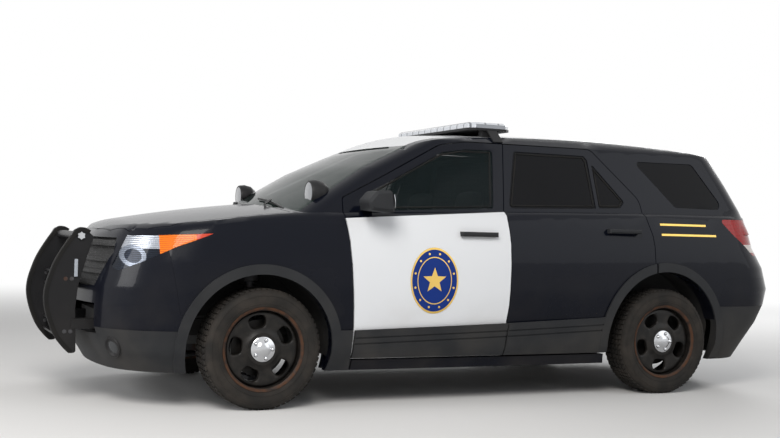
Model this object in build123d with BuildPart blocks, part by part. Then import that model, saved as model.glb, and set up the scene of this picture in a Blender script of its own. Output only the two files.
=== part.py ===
from build123d import *
import math
import os
from collections import namedtuple

# A full-size police utility vehicle. Millimetres, +X forward, +Y to the driver's side, +Z up,
# with the origin on the ground midway between the axles.

# Running gear
WHEELBASE = 2865.0
TRACK = 1700.0
TYRE_RADIUS = 355.0
TYRE_WIDTH = 245.0
FRONT_AXLE = WHEELBASE / 2
REAR_AXLE = -WHEELBASE / 2
KINGPIN_Y = 760.0

# Walls and gaps
PANEL_GAP = 6.0
SEAT_GAP = 0.4
DOOR_WALL = 110.0
NOSE_WALL = 45.0
HOOD_WALL = 30.0
FRAME_WALL = 45.0
ROOF_WALL = 35.0
GLASS_INSET = 4.0
GLASS_THICKNESS = 5.0
SIDE_RADIUS = 30000.0

# Plan outlines of the body at rising heights: the nose and the tail are arcs, joined to the
# long side arcs by corner arcs of one radius all the way up.
Waterline = namedtuple("Waterline", "z front rear half_width")
Ends = namedtuple("Ends", "nose nose_corner tail tail_corner")
BODY_ENDS = Ends(2200.0, 540.0, 3000.0, 350.0)
GREENHOUSE_ENDS = Ends(3200.0, 130.0, 2300.0, 200.0)
LOWER_BODY = (
    Waterline(215, 2280, -2340, 915),
    Waterline(330, 2350, -2400, 965),
    Waterline(470, 2398, -2510, 987),
    Waterline(600, 2400, -2580, 998),
    Waterline(710, 2392, -2606, 1002),
    Waterline(860, 2350, -2560, 1000),
    Waterline(1000, 2290, -2470, 986),
    Waterline(1090, 2245, -2450, 964),
    Waterline(1300, 2130, -2400, 895),
)
GREENHOUSE = (
    Waterline(1100, 1427, -2450, 945),
    Waterline(1275, 1142, -2380, 872),
    Waterline(1450, 845, -2290, 794),
    Waterline(1625, 461, -2190, 715),
    Waterline(1662, 375, -2168, 699),
    Waterline(1790, 90, -2050, 530),
)


def corner_centre(end_centre, end_radius, half_width, radius, way):
    """Centre of the arc that rounds an end arc into the side arc."""
    side_y = half_width - SIDE_RADIUS
    reach_end = end_radius - radius
    reach_side = SIDE_RADIUS - radius
    apart = math.hypot(end_centre, side_y)
    along = (reach_side**2 - reach_end**2 + apart**2) / (2 * apart)
    off = math.sqrt(reach_side**2 - along**2)
    unit_x = end_centre / apart
    unit_y = -side_y / apart
    x = along * unit_x + way * off * unit_y
    y = side_y + along * unit_y - way * off * unit_x
    return Vector(x, y)


def towards(centre, radius, point):
    """Point on a circle in the direction of another point."""
    return centre + (point - centre).normalized() * radius


def half_outline(row, ends, inset, plain):
    """Left half of one plan outline, drawn from the nose to the tail; plain ones are straight-sided."""
    width = row.half_width - inset
    front = Vector(row.front - inset, 0)
    rear = Vector(row.rear + inset, 0)
    nose = Vector(row.front - ends.nose, 0)
    tail = Vector(row.rear + ends.tail, 0)
    side = Vector(0, width - SIDE_RADIUS)
    nose_corner = max(ends.nose_corner - inset, 40)
    tail_corner = max(ends.tail_corner - inset, 40)
    c1 = corner_centre(nose.X, ends.nose - inset, width, nose_corner, 1)
    c2 = corner_centre(tail.X, ends.tail - inset, width, tail_corner, -1)
    a = towards(nose, ends.nose - inset, c1)
    b = towards(side, SIDE_RADIUS, c1)
    c = towards(side, SIDE_RADIUS, c2)
    d = towards(tail, ends.tail - inset, c2)
    between_ab = towards(c1, nose_corner, (a + b) / 2)
    between_bc = towards(side, SIDE_RADIUS, (b + c) / 2)
    between_cd = towards(c2, tail_corner, (c + d) / 2)
    if plain:
        Polyline(front, a, between_ab, b, between_bc, c, between_cd, d, rear)
    else:
        ThreePointArc(front, towards(nose, ends.nose - inset, (front + a) / 2), a)
        ThreePointArc(a, between_ab, b)
        ThreePointArc(b, between_bc, c)
        ThreePointArc(c, between_cd, d)
        ThreePointArc(d, towards(tail, ends.tail - inset, (rear + d) / 2), rear)


def hull(rows, ends, inset=0.0, plain=False):
    """Solid through plan outlines, drawn in by an inset."""
    with BuildPart() as solid:
        for row in rows:
            with BuildSketch(Plane.XY.offset(row.z)):
                with BuildLine():
                    half_outline(row, ends, inset, plain)
                    mirror(about=Plane.XZ)
                make_face()
        loft(ruled=True)
    return solid.part


def body_hull(inset=0.0):
    return hull(LOWER_BODY, BODY_ENDS, inset)


def body_lining(inset):
    """Plainer inner form of the lower body, through every other outline."""
    return hull(LOWER_BODY[::2], BODY_ENDS, inset, True)


def greenhouse_hull(inset=0.0):
    return hull(GREENHOUSE, GREENHOUSE_ENDS, inset)


def greenhouse_lining(inset):
    return hull(GREENHOUSE[::2] + GREENHOUSE[-1:], GREENHOUSE_ENDS, inset, True)


CROWN_HALF_WIDTH = 1060.0


def crown(profile, top, drop=0.0):
    """Body under a crowned top: a side profile turned about an axis along the body.

    The profile is drawn at the centre line, the ridge is its highest point, the reach is the
    smallest radius that it turns at, and drop lowers it all.
    """
    axis_z = top.ridge - top.radius
    half_turn = math.degrees(math.asin(CROWN_HALF_WIDTH / top.reach))
    swing = math.radians(half_turn)
    start = Plane(
        origin=(0, 0, axis_z - drop),
        x_dir=(1, 0, 0),
        z_dir=(0, -math.cos(swing), -math.sin(swing)),
    )
    with BuildPart() as solid:
        with BuildSketch(start):
            with BuildLine():
                profile(axis_z)
            make_face()
        revolve(axis=Axis((0, 0, axis_z - drop), (-1, 0, 0)), revolution_arc=2 * half_turn)
    return solid.part


# Top surfaces, as side profiles at the centre line
Top = namedtuple("Top", "radius ridge reach")
HOOD_TOP = Top(6400.0, 1260.0, 6200.0)
ROOF_TOP_FORM = Top(4600.0, 1760.0, 4300.0)
NOSE_EDGE = (2292.0, 1000.0)
HOOD_LEAD = (2130.0, 1098.0)
HOOD_MIDDLE = (1700.0, 1168.0)
COWL = (1231.0, 1222.0)
BELT_MIDDLE = (-700.0, 1280.0)
BELT_REAR = (-2750.0, 1275.0)
ROOF_FRONT = (150.0, 1725.0)
ROOF_TOP = (-800.0, 1760.0)
ROOF_REAR = (-1797.0, 1732.0)
HEADER = (440.0, 1640.0)
TAIL_EDGE = (-2300.0, 1625.0)


def hood_profile(axis_z):
    def at(point):
        return (point[0], point[1] - axis_z)

    main = ThreePointArc(at(HOOD_LEAD), at(HOOD_MIDDLE), at(COWL))
    belt = ThreePointArc(at(COWL), at(BELT_MIDDLE), at(BELT_REAR))
    nose = TangentArc(at(HOOD_LEAD), at(NOSE_EDGE), tangent=(main % 0) * -1)
    low = 60 - axis_z
    ahead = 2700
    Polyline(nose @ 1, (ahead, at(NOSE_EDGE)[1]), (ahead, low), (BELT_REAR[0], low), belt @ 1)


def roof_profile(axis_z):
    def at(point):
        return (point[0], point[1] - axis_z)

    main = ThreePointArc(at(ROOF_FRONT), at(ROOF_TOP), at(ROOF_REAR))
    header = TangentArc(at(ROOF_FRONT), at(HEADER), tangent=(main % 0) * -1)
    tail = TangentArc(at(ROOF_REAR), at(TAIL_EDGE), tangent=main % 1)
    low = 1000 - axis_z
    ahead = 1500
    behind = -2700
    Polyline(
        header @ 1, (ahead, at(HEADER)[1]), (ahead, low), (behind, low), (behind, at(TAIL_EDGE)[1]), tail @ 1
    )


def rim(part):
    """Edges where the crowned top meets the walls."""
    crowned = part.faces().filter_by(lambda face: face.geom_type in (GeomType.REVOLUTION, GeomType.TORUS))
    walls = part.faces().filter_by(lambda face: face.geom_type not in (GeomType.REVOLUTION, GeomType.TORUS))
    wall_edges = walls.edges()
    return [edge for edge in crowned.edges() if any(edge.is_same(other) for other in wall_edges)]


# Outer form: the lower body under the hood and belt crown, and the greenhouse under the roof
SHOULDER_CHAMFER = 22.0
with BuildPart() as lower_outer:
    add(body_hull())
    add(crown(hood_profile, HOOD_TOP), mode=Mode.INTERSECT)
    chamfer(rim(lower_outer), length=SHOULDER_CHAMFER)
with BuildPart() as greenhouse_outer:
    add(greenhouse_hull())
    add(crown(roof_profile, ROOF_TOP_FORM), mode=Mode.INTERSECT)

# Walls: the thick door and quarter wall, the thinner nose, and the pillars and roof
hood_inner = crown(hood_profile, HOOD_TOP, HOOD_WALL)
roof_inner = crown(roof_profile, ROOF_TOP_FORM, ROOF_WALL)
cabin_lower = body_lining(DOOR_WALL)
nose_inner = body_lining(NOSE_WALL)
greenhouse_inner = greenhouse_lining(FRAME_WALL) & roof_inner
with BuildPart() as side_wall:
    add(lower_outer.part)
    add(cabin_lower, mode=Mode.SUBTRACT)
    add(greenhouse_inner, mode=Mode.SUBTRACT)
with BuildPart() as upper_wall:
    add(greenhouse_outer.part)
    add(greenhouse_inner, mode=Mode.SUBTRACT)
    add(cabin_lower & hood_inner, mode=Mode.SUBTRACT)
with BuildPart() as nose_wall:
    add(lower_outer.part)
    add(nose_inner & hood_inner, mode=Mode.SUBTRACT)


# Shut faces lean back towards the outside, so that a door swings clear of what it closes against
LEAN = 0.27
DRAW_Y = 1100.0
DRAW_DEPTH = 455.0
BELT_Z = 1150.0
SKIN_Y = 985.0
BELT_Y = 930.0
TUMBLEHOME = 0.45
SILL_Z = 285.0


def skin_y(z):
    """Half width of the door skin at a height."""
    if z < BELT_Z:
        return SKIN_Y
    return BELT_Y - TUMBLEHOME * (z - BELT_Z)


def leaned(points):
    """Outline points on the skin, carried out to the drawing plane along the leaning faces."""
    return [(x - LEAN * (DRAW_Y - skin_y(z)), z) for x, z in points]


def door_prism(points, radii, grow=0.0):
    """Left-hand prism through a door outline, with faces that lean back."""
    with BuildPart() as prism:
        with BuildSketch(Plane.XZ.offset(-DRAW_Y)):
            with BuildLine():
                FilletPolyline(leaned(points), radius=radii, close=True)
            make_face()
            if grow:
                offset(amount=grow, kind=Kind.INTERSECTION)
        extrude(amount=DRAW_DEPTH * math.hypot(1, LEAN), dir=(LEAN, -1, 0))
    return prism.part


def side_prism(points, radii=0, y_from=400.0, y_to=1100.0, grow=0.0):
    """Left-hand prism straight across the body through a side outline."""
    with BuildPart() as prism:
        with BuildSketch(Plane.XZ.offset(-y_to)):
            with BuildLine():
                FilletPolyline(points, radius=radii, close=True)
            make_face()
            if grow:
                offset(amount=grow, kind=Kind.INTERSECTION)
        extrude(amount=y_from - y_to, dir=(0, 1, 0))
    return prism.part


def wheel_disc(x, z, radius, y_from=400.0, y_to=1100.0):
    """Left-hand cylinder across the body, for a wheel opening."""
    with BuildPart() as disc:
        with BuildSketch(Plane.XZ.offset(-y_to)):
            with Locations((x, z)):
                Circle(radius)
        extrude(amount=y_from - y_to, dir=(0, 1, 0))
    return disc.part


def half_box(x_from, x_to, y_from, y_to, z_from, z_to):
    with BuildPart() as box:
        with Locations(((x_from + x_to) / 2, (y_from + y_to) / 2, (z_from + z_to) / 2)):
            Box(x_to - x_from, y_to - y_from, z_to - z_from)
    return box.part


def mirrored(part):
    """The same piece on the other side of the vehicle."""
    with BuildPart() as other:
        add(part)
        mirror(about=Plane.XZ, mode=Mode.REPLACE)
    return other.part


# Side outlines, drawn on the skin
ROOF_SHUT_Z = 1660.0
B_POST_LOW = (-168.0, SILL_Z)
B_POST_BELT = (-180.0, 1205.0)
B_POST_TOP = (-274.0, ROOF_SHUT_Z)
FRONT_DOOR = (
    (872, SILL_Z), (873, 480), (918, 1148), (925, 1262), (663, 1392), (198, 1632), (0, ROOF_SHUT_Z),
    B_POST_TOP, B_POST_BELT, B_POST_LOW,
)
FRONT_DOOR_RADII = (0, 300, 80, 30, 400, 300, 200, 8, 150, 0)
REAR_DOOR = (
    B_POST_LOW, B_POST_BELT, B_POST_TOP, (-975, ROOF_SHUT_Z), (-1296, 1320), (-1302, 1201),
    (-1346, 1068), (-1346, SILL_Z),
)
REAR_DOOR_RADII = (0, 150, 8, 70, 90, 60, 60, 0)
FRONT_GLASS = ((745, 1186), (775, 1290), (660, 1342), (196, 1580), (20, 1608), (-184, 1611), (-105, 1222))
FRONT_GLASS_RADII = (25, 35, 150, 120, 60, 25, 25)
REAR_GLASS = ((-222, 1230), (-345, 1613), (-905, 1610), (-928, 1580), (-910, 1248))
REAR_GLASS_RADII = (25, 25, 10, 10, 10)
VENT_GLASS = ((-935, 1252), (-953, 1560), (-1160, 1300), (-1112, 1258))
VENT_GLASS_RADII = (10, 8, 20, 12)
QUARTER_GLASS = ((-1322, 1592), (-1855, 1597), (-2055, 1272), (-1598, 1276))
QUARTER_GLASS_RADII = (25, 40, 45, 30)

# Wheel openings, a little off the axles as the flares are
FRONT_ARCH = (FRONT_AXLE + 15, TYRE_RADIUS, 445.0)
REAR_ARCH = (REAR_AXLE, TYRE_RADIUS + 6, 475.0)

rear_opening = wheel_disc(*REAR_ARCH)
front_opening = wheel_disc(*FRONT_ARCH)


def door(outline, radii, windows, opening=None):
    """Door shell: the whole wall inside its shut line, with its windows cut."""
    with BuildPart() as shell:
        add(side_wall.part)
        add(upper_wall.part)
        add(door_prism(outline, radii, -PANEL_GAP / 2), mode=Mode.INTERSECT)
        for points, corners in windows:
            add(side_prism(points, corners), mode=Mode.SUBTRACT)
        if opening:
            add(opening, mode=Mode.SUBTRACT)
    return shell.part


# Hairline between the front door's panel and its window frame, below the glass from end to end
FRAME_SEAM = 0.5
FRAME_SEAM_Z = 1194.0
FRAME_SEAM_SLOPE = -0.062
FRAME_SEAM_LINE = tuple(
    (x, FRAME_SEAM_Z + x * FRAME_SEAM_SLOPE + rise * FRAME_SEAM / 2)
    for x, rise in ((1000, -1), (1000, 1), (-300, 1), (-300, -1))
)

front_door = door(
    FRONT_DOOR,
    FRONT_DOOR_RADII,
    ((FRONT_GLASS, FRONT_GLASS_RADII), (FRAME_SEAM_LINE, (0, 0, 0, 0))),
)
rear_door = door(
    REAR_DOOR,
    REAR_DOOR_RADII,
    ((REAR_GLASS, REAR_GLASS_RADII), (VENT_GLASS, VENT_GLASS_RADII)),
    rear_opening,
)

# Windshield opening, drawn from the front
WINDSHIELD = ((-852, 1000), (-852, 1135), (-652, 1618), (652, 1618), (852, 1135), (852, 1000))
WINDSHIELD_PANE = (
    (-852, 1135), (-652, 1618), (652, 1618), (852, 1135), (430, 1174), (0, 1187), (-430, 1174),
)
WINDSHIELD_X = (390.0, 1500.0)


def across_prism(plane, points, radii, depth, grow=0.0):
    """Prism through an outline drawn on any plane."""
    with BuildPart() as prism:
        with BuildSketch(plane):
            with BuildLine():
                FilletPolyline(points, radius=radii, close=True)
            make_face()
            if grow:
                offset(amount=grow, kind=Kind.INTERSECTION)
        extrude(amount=depth)
    return prism.part


# Plane seen from the front: local x is +Y and the normal +X
FROM_FRONT = Plane(origin=(0, 0, 0), x_dir=(0, 1, 0), z_dir=(1, 0, 0))
windshield_cut = across_prism(
    FROM_FRONT.offset(WINDSHIELD_X[0]), WINDSHIELD, (0, 0, 55, 55, 0, 0), WINDSHIELD_X[1] - WINDSHIELD_X[0]
)


# Liftgate: its side faces open towards the rear, so that it clears the pillars as it swings up
GATE_FRONT = -2015.0
GATE_BACK = -2750.0
GATE_SPREAD = 0.3
GateLine = namedtuple("GateLine", "z half_width rear")
GATE_LINES = (
    GateLine(795, 690, -2590),
    GateLine(1000, 705, -2470),
    GateLine(1240, 725, -2390),
    GateLine(1610, 612, -2195),
    GateLine(1900, 520, -2100),
)


def gate_outline(x, shrink):
    """Rear-view outline of the gate at a station along the body."""
    halves = [(line.half_width + GATE_SPREAD * (line.rear - x) - shrink, line.z) for line in GATE_LINES]
    halves[0] = (halves[0][0], halves[0][1] + shrink)
    with BuildSketch(FROM_FRONT.offset(x)) as sketch:
        with BuildLine():
            Polyline([(-y, z) for y, z in halves] + halves[::-1], close=True)
        make_face()
    return sketch.sketch


def gate_prism(shrink=0.0):
    with BuildPart() as prism:
        loft([gate_outline(GATE_FRONT - shrink, shrink), gate_outline(GATE_BACK, shrink)], ruled=True)
    return prism.part


# Side outlines of the rear bumper and the tail lamp, and plan outlines of the roof panel and hood
SEAM = 0.8
REAR_BUMPER = ((-1860, 150), (-1895, 600), (-1985, 787), (-2800, 787), (-2800, 150))
REAR_BUMPER_RADII = (0, 60, 60, 0, 0)
TAIL_LAMP = ((-1958, 1204), (-2068, 1092), (-2262, 950), (-2620, 950), (-2620, 1212))
TAIL_LAMP_RADII = (18, 60, 30, 0, 0)
ROOF_HALF = ((640, 590), (200, 612), (-1300, 590), (-2009, 540))
HOOD_HALF = (
    (1294, 330), (1272, 700), (1258, 847), (1700, 847), (1975, 822), (2085, 745), (2165, 640), (2232, 420),
    (2258, 150),
)


def both_halves(points):
    """Closed outline from its left half."""
    return [(x, -y) for x, y in points] + [(x, y) for x, y in points[::-1]]


gate_cut = gate_prism()
bumper_cut = side_prism(REAR_BUMPER, REAR_BUMPER_RADII, -1100, 1100)
tail_lamp_cut = side_prism(TAIL_LAMP, TAIL_LAMP_RADII, 0, 1100)
roof_cut = across_prism(Plane.XY.offset(1500), both_halves(ROOF_HALF), 0, 400)

# Sills and posts behind the doors
ROCKER_Y = (735.0, 771.0)
ROCKER_TOP = 420.0
HINGE_POST_X = (934.0, 1060.0)
HINGE_POST_DEPTH = 190.0
B_POST_X = (-300.0, -195.0)
B_POST_SECTION = (
    (740, 292), (790, 292), (850, 560), (860, 760), (842, 1000), (794, 1185), (812, 1225), (652, 1625),
    (640, 1690), (612, 1690), (745, 1200), (785, 1000), (800, 700), (740, 400),
)

# Wheel wells: the room that the liners and all inside them take
LINER_WALL = 6.0
FRONT_LINER_RADIUS = 455.0
REAR_LINER_RADIUS = 480.0
FRONT_WELL_Y = 512.0
REAR_WELL_Y = 640.0
LINER_ROOM = LINER_WALL + SEAT_GAP
front_well = wheel_disc(*FRONT_ARCH[:2], FRONT_LINER_RADIUS + LINER_ROOM, FRONT_WELL_Y - LINER_ROOM)
rear_well = wheel_disc(*REAR_ARCH[:2], REAR_LINER_RADIUS + LINER_ROOM, REAR_WELL_Y - LINER_ROOM)

front_door_hole = door_prism(FRONT_DOOR, FRONT_DOOR_RADII, PANEL_GAP / 2)
rear_door_hole = door_prism(REAR_DOOR, REAR_DOOR_RADII, PANEL_GAP / 2)
with BuildPart() as hinge_post:
    add(body_lining(NOSE_WALL + SEAT_GAP))
    add(hood_inner, mode=Mode.INTERSECT)
    add(half_box(*HINGE_POST_X, ROCKER_Y[0], 1000, SILL_Z, 1300), mode=Mode.INTERSECT)
    add(body_lining(HINGE_POST_DEPTH), mode=Mode.SUBTRACT)
    add(front_door_hole, mode=Mode.SUBTRACT)
    add(front_well, mode=Mode.SUBTRACT)
with BuildPart() as sill:
    add(lower_outer.part)
    add(half_box(-975, 866, ROCKER_Y[0], 1000, 150, SILL_Z - PANEL_GAP), mode=Mode.INTERSECT)
    add(half_box(-960, HINGE_POST_X[1], *ROCKER_Y, 215, ROCKER_TOP))
    add(front_well, mode=Mode.SUBTRACT)
    add(rear_well, mode=Mode.SUBTRACT)
with BuildPart() as body_side_left:
    add(side_wall.part & half_box(-2700, -1280, 500, 1100, SILL_Z - PANEL_GAP, 1260))
    add(upper_wall.part & half_box(-2700, 1450, 400, 1100, 1101, 1800))
    add(windshield_cut, mode=Mode.SUBTRACT)
    add(roof_cut, mode=Mode.SUBTRACT)
    add(gate_cut, mode=Mode.SUBTRACT)
    add(bumper_cut, mode=Mode.SUBTRACT)
    add(tail_lamp_cut, mode=Mode.SUBTRACT)
    add(rear_opening, mode=Mode.SUBTRACT)
    add(side_prism(QUARTER_GLASS, QUARTER_GLASS_RADII), mode=Mode.SUBTRACT)
    add(front_door_hole, mode=Mode.SUBTRACT)
    add(rear_door_hole, mode=Mode.SUBTRACT)
    add(hinge_post.part)
    add(sill.part)
    with BuildSketch(FROM_FRONT.offset(B_POST_X[0])):
        with BuildLine():
            Polyline(B_POST_SECTION, close=True)
        make_face()
    extrude(amount=B_POST_X[1] - B_POST_X[0])


# Roof panel, its front edge bonded over the windshield
roof_panel = upper_wall.part & across_prism(Plane.XY.offset(1500), both_halves(ROOF_HALF), 0, 400, -SEAM)
roof_panel = (roof_panel - windshield_cut) - gate_cut

# Hinge blocks at the roof's rear edge, close to the front face of the liftgate
HINGE_BLOCK_Y = (320.0, 385.0)
hinge_block = half_box(GATE_FRONT - PANEL_GAP + SEAT_GAP, GATE_FRONT + 12, *HINGE_BLOCK_Y, 1648, 1668)
roof_panel = roof_panel + hinge_block + mirrored(hinge_block)

# Glass, in a thin shell just under the skin
PANE_GAP = 0.5
glass_skin = greenhouse_hull(GLASS_INSET) - greenhouse_hull(GLASS_INSET + GLASS_THICKNESS)


def side_pane(points, radii):
    return glass_skin & side_prism(points, radii, 400, 1100, -PANE_GAP)


front_pane = side_pane(FRONT_GLASS, FRONT_GLASS_RADII)
rear_pane = side_pane(REAR_GLASS, REAR_GLASS_RADII)
vent_pane = side_pane(VENT_GLASS, VENT_GLASS_RADII)
quarter_pane = side_pane(QUARTER_GLASS, QUARTER_GLASS_RADII)
windshield = glass_skin & across_prism(
    FROM_FRONT.offset(WINDSHIELD_X[0]), WINDSHIELD_PANE, (0, 55, 55, 0, 0, 0, 0),
    WINDSHIELD_X[1] - WINDSHIELD_X[0], -PANE_GAP,
)

# Hood, and the cowl under its rear edge
HOOD_REACH = (900.0, 1260.0)
COWL_DROP = 36.0
COWL_WALL = 12.0
COWL_HALF = ((1085, 700), (1110, 851.6), (1300, 851.6), (1345, 500), (1365, 200))
hood_plan = across_prism(Plane.XY.offset(HOOD_REACH[0]), both_halves(HOOD_HALF), 0, 360)
hood_hole = across_prism(Plane.XY.offset(HOOD_REACH[0]), both_halves(HOOD_HALF), 0, 360, PANEL_GAP)
hood = (lower_outer.part - hood_inner) & hood_plan
cowl_top = crown(hood_profile, HOOD_TOP, COWL_DROP)
cowl_bottom = crown(hood_profile, HOOD_TOP, COWL_DROP + COWL_WALL)
cowl = (cowl_top - cowl_bottom) & across_prism(Plane.XY.offset(1050), both_halves(COWL_HALF), 0, 200)
cowl = cowl & greenhouse_hull(-40)
cowl = cowl & (body_hull(60) - greenhouse_hull(GLASS_INSET + GLASS_THICKNESS + 12))

# Rubber buffers on the cowl, which the closed hood rests on
BUFFER = (1300.0, 560.0, 14.0)
buffer_room = crown(hood_profile, HOOD_TOP, HOOD_WALL + SEAT_GAP) - cowl_bottom
with BuildPart() as buffers:
    with BuildSketch(Plane.XY.offset(1000)):
        with Locations((BUFFER[0], BUFFER[1]), (BUFFER[0], -BUFFER[1])):
            Circle(BUFFER[2])
    extrude(amount=260)
cowl = cowl + (buffers.part & buffer_room)

# Fenders, headlamps and bumper: the nose wall parted along its seams
LAMP_WALL = 60.0
FENDER = (
    (860, 150), (1300, 150), (FRONT_AXLE, TYRE_RADIUS), (1925, 560), (1990, 925), (1990, 1004),
    (2170, 996), (2190, 1300), (860, 1300),
)
HEADLAMP = ((1740, 1026), (2161, 1000), (2180, 1004), (2290, 770), (2130, 850), (1950, 942), (1800, 1000))
HEADLAMP_RADII = (0, 0, 0, 25, 60, 80, 40)
GRILLE_HALF = ((0, 985), (560, 985), (600, 900), (500, 700), (0, 690))
INTAKE = (520.0, 420.0, 600.0)
VALANCE_TOP = 462.0
NOSE_FRONT = 1300.0


def front_outline(points, grow=0.0):
    """Prism along the nose through an outline seen from the front, given by its left half."""
    other_half = [(-y, z) for y, z in points[-2:0:-1]]
    return across_prism(FROM_FRONT.offset(NOSE_FRONT), [*points, *other_half], 0, 1300, grow)


fender_cut = side_prism(FENDER, 0, 0, 1100)
headlamp_cut = side_prism(HEADLAMP, HEADLAMP_RADII, 300, 1100)
fender = (nose_wall.part & side_prism(FENDER, 0, 0, 1100, -SEAM)) - hood_hole
fender = fender - headlamp_cut - front_opening - front_door_hole - greenhouse_hull(-SEAM)
fender = fender & half_box(872, 2300, 600, 1100, 150, 1300)
headlamp = lower_outer.part - body_lining(LAMP_WALL)
headlamp = headlamp & side_prism(HEADLAMP, HEADLAMP_RADII, 300, 1100, -SEAM)
headlamp = headlamp - hood_hole - front_outline(GRILLE_HALF, SEAM)


grille_opening = front_outline(GRILLE_HALF)
intake_opening = half_box(NOSE_FRONT, 2700, -INTAKE[0], INTAKE[0], INTAKE[1], INTAKE[2])
front_skin = (nose_wall.part & half_box(1452, 2500, -1100, 1100, 150, 1300)) - hood_hole
front_skin = front_skin - fender_cut - headlamp_cut - front_opening
front_skin = front_skin - mirrored(fender_cut) - mirrored(headlamp_cut) - mirrored(front_opening)
front_skin = front_skin - grille_opening - intake_opening
front_bumper = front_skin & half_box(1452, 2500, -1100, 1100, VALANCE_TOP + SEAM, 1300)
front_valance = front_skin & half_box(1452, 2500, -1100, 1100, 150, VALANCE_TOP)

# Grille: curved bars on a thin backing, fitted to the opening
GrilleBar = namedtuple("GrilleBar", "z height")
GRILLE_BARS = (GrilleBar(712, 26), GrilleBar(784, 26), GrilleBar(856, 26), GrilleBar(952, 34))
grille_back = body_hull(30) - body_hull(36)
grille_front = body_hull(8) - body_hull(30)
with BuildPart() as grille:
    for bar in GRILLE_BARS:
        add(half_box(2000, 2500, -700, 700, bar.z - bar.height / 2, bar.z + bar.height / 2) & grille_front)
    add(grille_back & half_box(2000, 2500, -700, 700, 600, 1000))
    add(front_outline(GRILLE_HALF, -SEAM), mode=Mode.INTERSECT)

# Rear bumper and valance, tail lamps
REAR_VALANCE_TOP = 590.0
rear_skin = (lower_outer.part - nose_inner) & half_box(-2700, -1850, -1100, 1100, 150, 800)
rear_skin = rear_skin & side_prism(REAR_BUMPER, REAR_BUMPER_RADII, -1100, 1100, -SEAM)
rear_skin = rear_skin - rear_opening - mirrored(rear_opening)
rear_bumper = rear_skin & half_box(-2700, -1800, -1100, 1100, REAR_VALANCE_TOP + SEAM, 800)
rear_valance = rear_skin & half_box(-2700, -1800, -1100, 1100, 150, REAR_VALANCE_TOP)
tail_lamp = (lower_outer.part + greenhouse_outer.part) - body_lining(LAMP_WALL)
tail_lamp = tail_lamp & side_prism(TAIL_LAMP, TAIL_LAMP_RADII, 0, 1100, -SEAM)
tail_lamp = tail_lamp & half_box(-2700, -1900, 560, 1100, 900, 1230)
tail_lamp = tail_lamp - gate_cut

# Liftgate with its window
GATE_WINDOW = ((0, 1592), (520, 1586), (618, 1290), (0, 1272))
gate_body = gate_prism(PANEL_GAP)
gate_window = [*GATE_WINDOW, *[(-y, z) for y, z in GATE_WINDOW[-2:0:-1]]]
GATE_WINDOW_RADII = (0, 30, 30, 0, 30, 30)
window_cut = across_prism(FROM_FRONT.offset(GATE_BACK), gate_window, GATE_WINDOW_RADII, 700)
liftgate = (side_wall.part & half_box(-2700, -2000, -1000, 1000, 780, 1262)) & gate_body
liftgate = (liftgate + (upper_wall.part & gate_body)) - window_cut
gate_pane_cut = across_prism(FROM_FRONT.offset(GATE_BACK), gate_window, GATE_WINDOW_RADII, 700, -PANE_GAP)
gate_pane = glass_skin & gate_pane_cut & half_box(-2700, -2060, -1000, 1000, 1200, 1650)

# Flares and cladding stand proud of the skin
FLARE_DEPTH = 14.0
Flare = namedtuple("Flare", "arch inner outer")
FRONT_FLARE = Flare(FRONT_ARCH, 439.0, 498.0)
REAR_FLARE = Flare(REAR_ARCH, 470.0, 532.0)
proud_skin = body_hull(-FLARE_DEPTH) - body_hull()


def flare_ring(flare):
    ring = wheel_disc(flare.arch[0], flare.arch[1], flare.outer, 700, 1100)
    return ring - wheel_disc(flare.arch[0], flare.arch[1], flare.inner, 600, 1200)


front_foot = half_box(884, 1010, 700, 1100, 216, 463)
front_foot = front_foot - wheel_disc(*FRONT_ARCH[:2], FRONT_FLARE.inner + 20, 600, 1200)
front_flare = proud_skin & (flare_ring(FRONT_FLARE) + front_foot)
rear_ring = proud_skin & flare_ring(REAR_FLARE)
rear_flare = rear_ring & half_box(-2100, REAR_DOOR[-1][0] - PANEL_GAP - 4, 700, 1100, 230, 1000)

# Door cladding with two grooves, its top edge rising to the rear
CLADDING_TOP = ((900, 462), (-183, 497), (-883, 525), (-1350, 560))
CLADDING_GAP = 3.0
Groove = namedtuple("Groove", "below_top height")
GROOVES = (Groove(44, 9), Groove(80, 9))
GROOVE_DEPTH = 6.0
groove_skin = body_hull(-FLARE_DEPTH - 1) - body_hull(GROOVE_DEPTH - FLARE_DEPTH)


def cladding_band(below, height):
    """Side band that follows the top edge of the cladding at a distance below it."""
    top = [(x, z - below) for x, z in CLADDING_TOP]
    bottom = [(x, z - below - height) for x, z in CLADDING_TOP[::-1]]
    return side_prism(top + bottom, 0, 600, 1100)


def door_cladding(outline, radii):
    foot = [(CLADDING_TOP[-1][0], SILL_Z + CLADDING_GAP), (CLADDING_TOP[0][0], SILL_Z + CLADDING_GAP)]
    band = proud_skin & side_prism([*CLADDING_TOP, *foot], 0, 600, 1100)
    band = band & door_prism(outline, radii, -PANEL_GAP / 2 - CLADDING_GAP)
    for groove in GROOVES:
        band = band - (groove_skin & cladding_band(groove.below_top, groove.height))
    return band


rear_flare_hole = wheel_disc(REAR_ARCH[0], REAR_ARCH[1], REAR_FLARE.outer + SEAM, 600, 1200)
rear_door_flare = rear_ring & door_prism(REAR_DOOR, REAR_DOOR_RADII, -PANEL_GAP / 2 - CLADDING_GAP)
front_cladding = door_cladding(FRONT_DOOR, FRONT_DOOR_RADII)
rear_cladding = door_cladding(REAR_DOOR, REAR_DOOR_RADII) - rear_flare_hole

# Door handles: a bar on two feet
HANDLE_LENGTH = 258.0
HANDLE_HEIGHT = 30.0
HANDLE_REACH = 44.0
Handle = namedtuple("Handle", "x z")
FRONT_HANDLE = Handle(40, 1057)
REAR_HANDLE = Handle(-1080, 1100)


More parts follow.
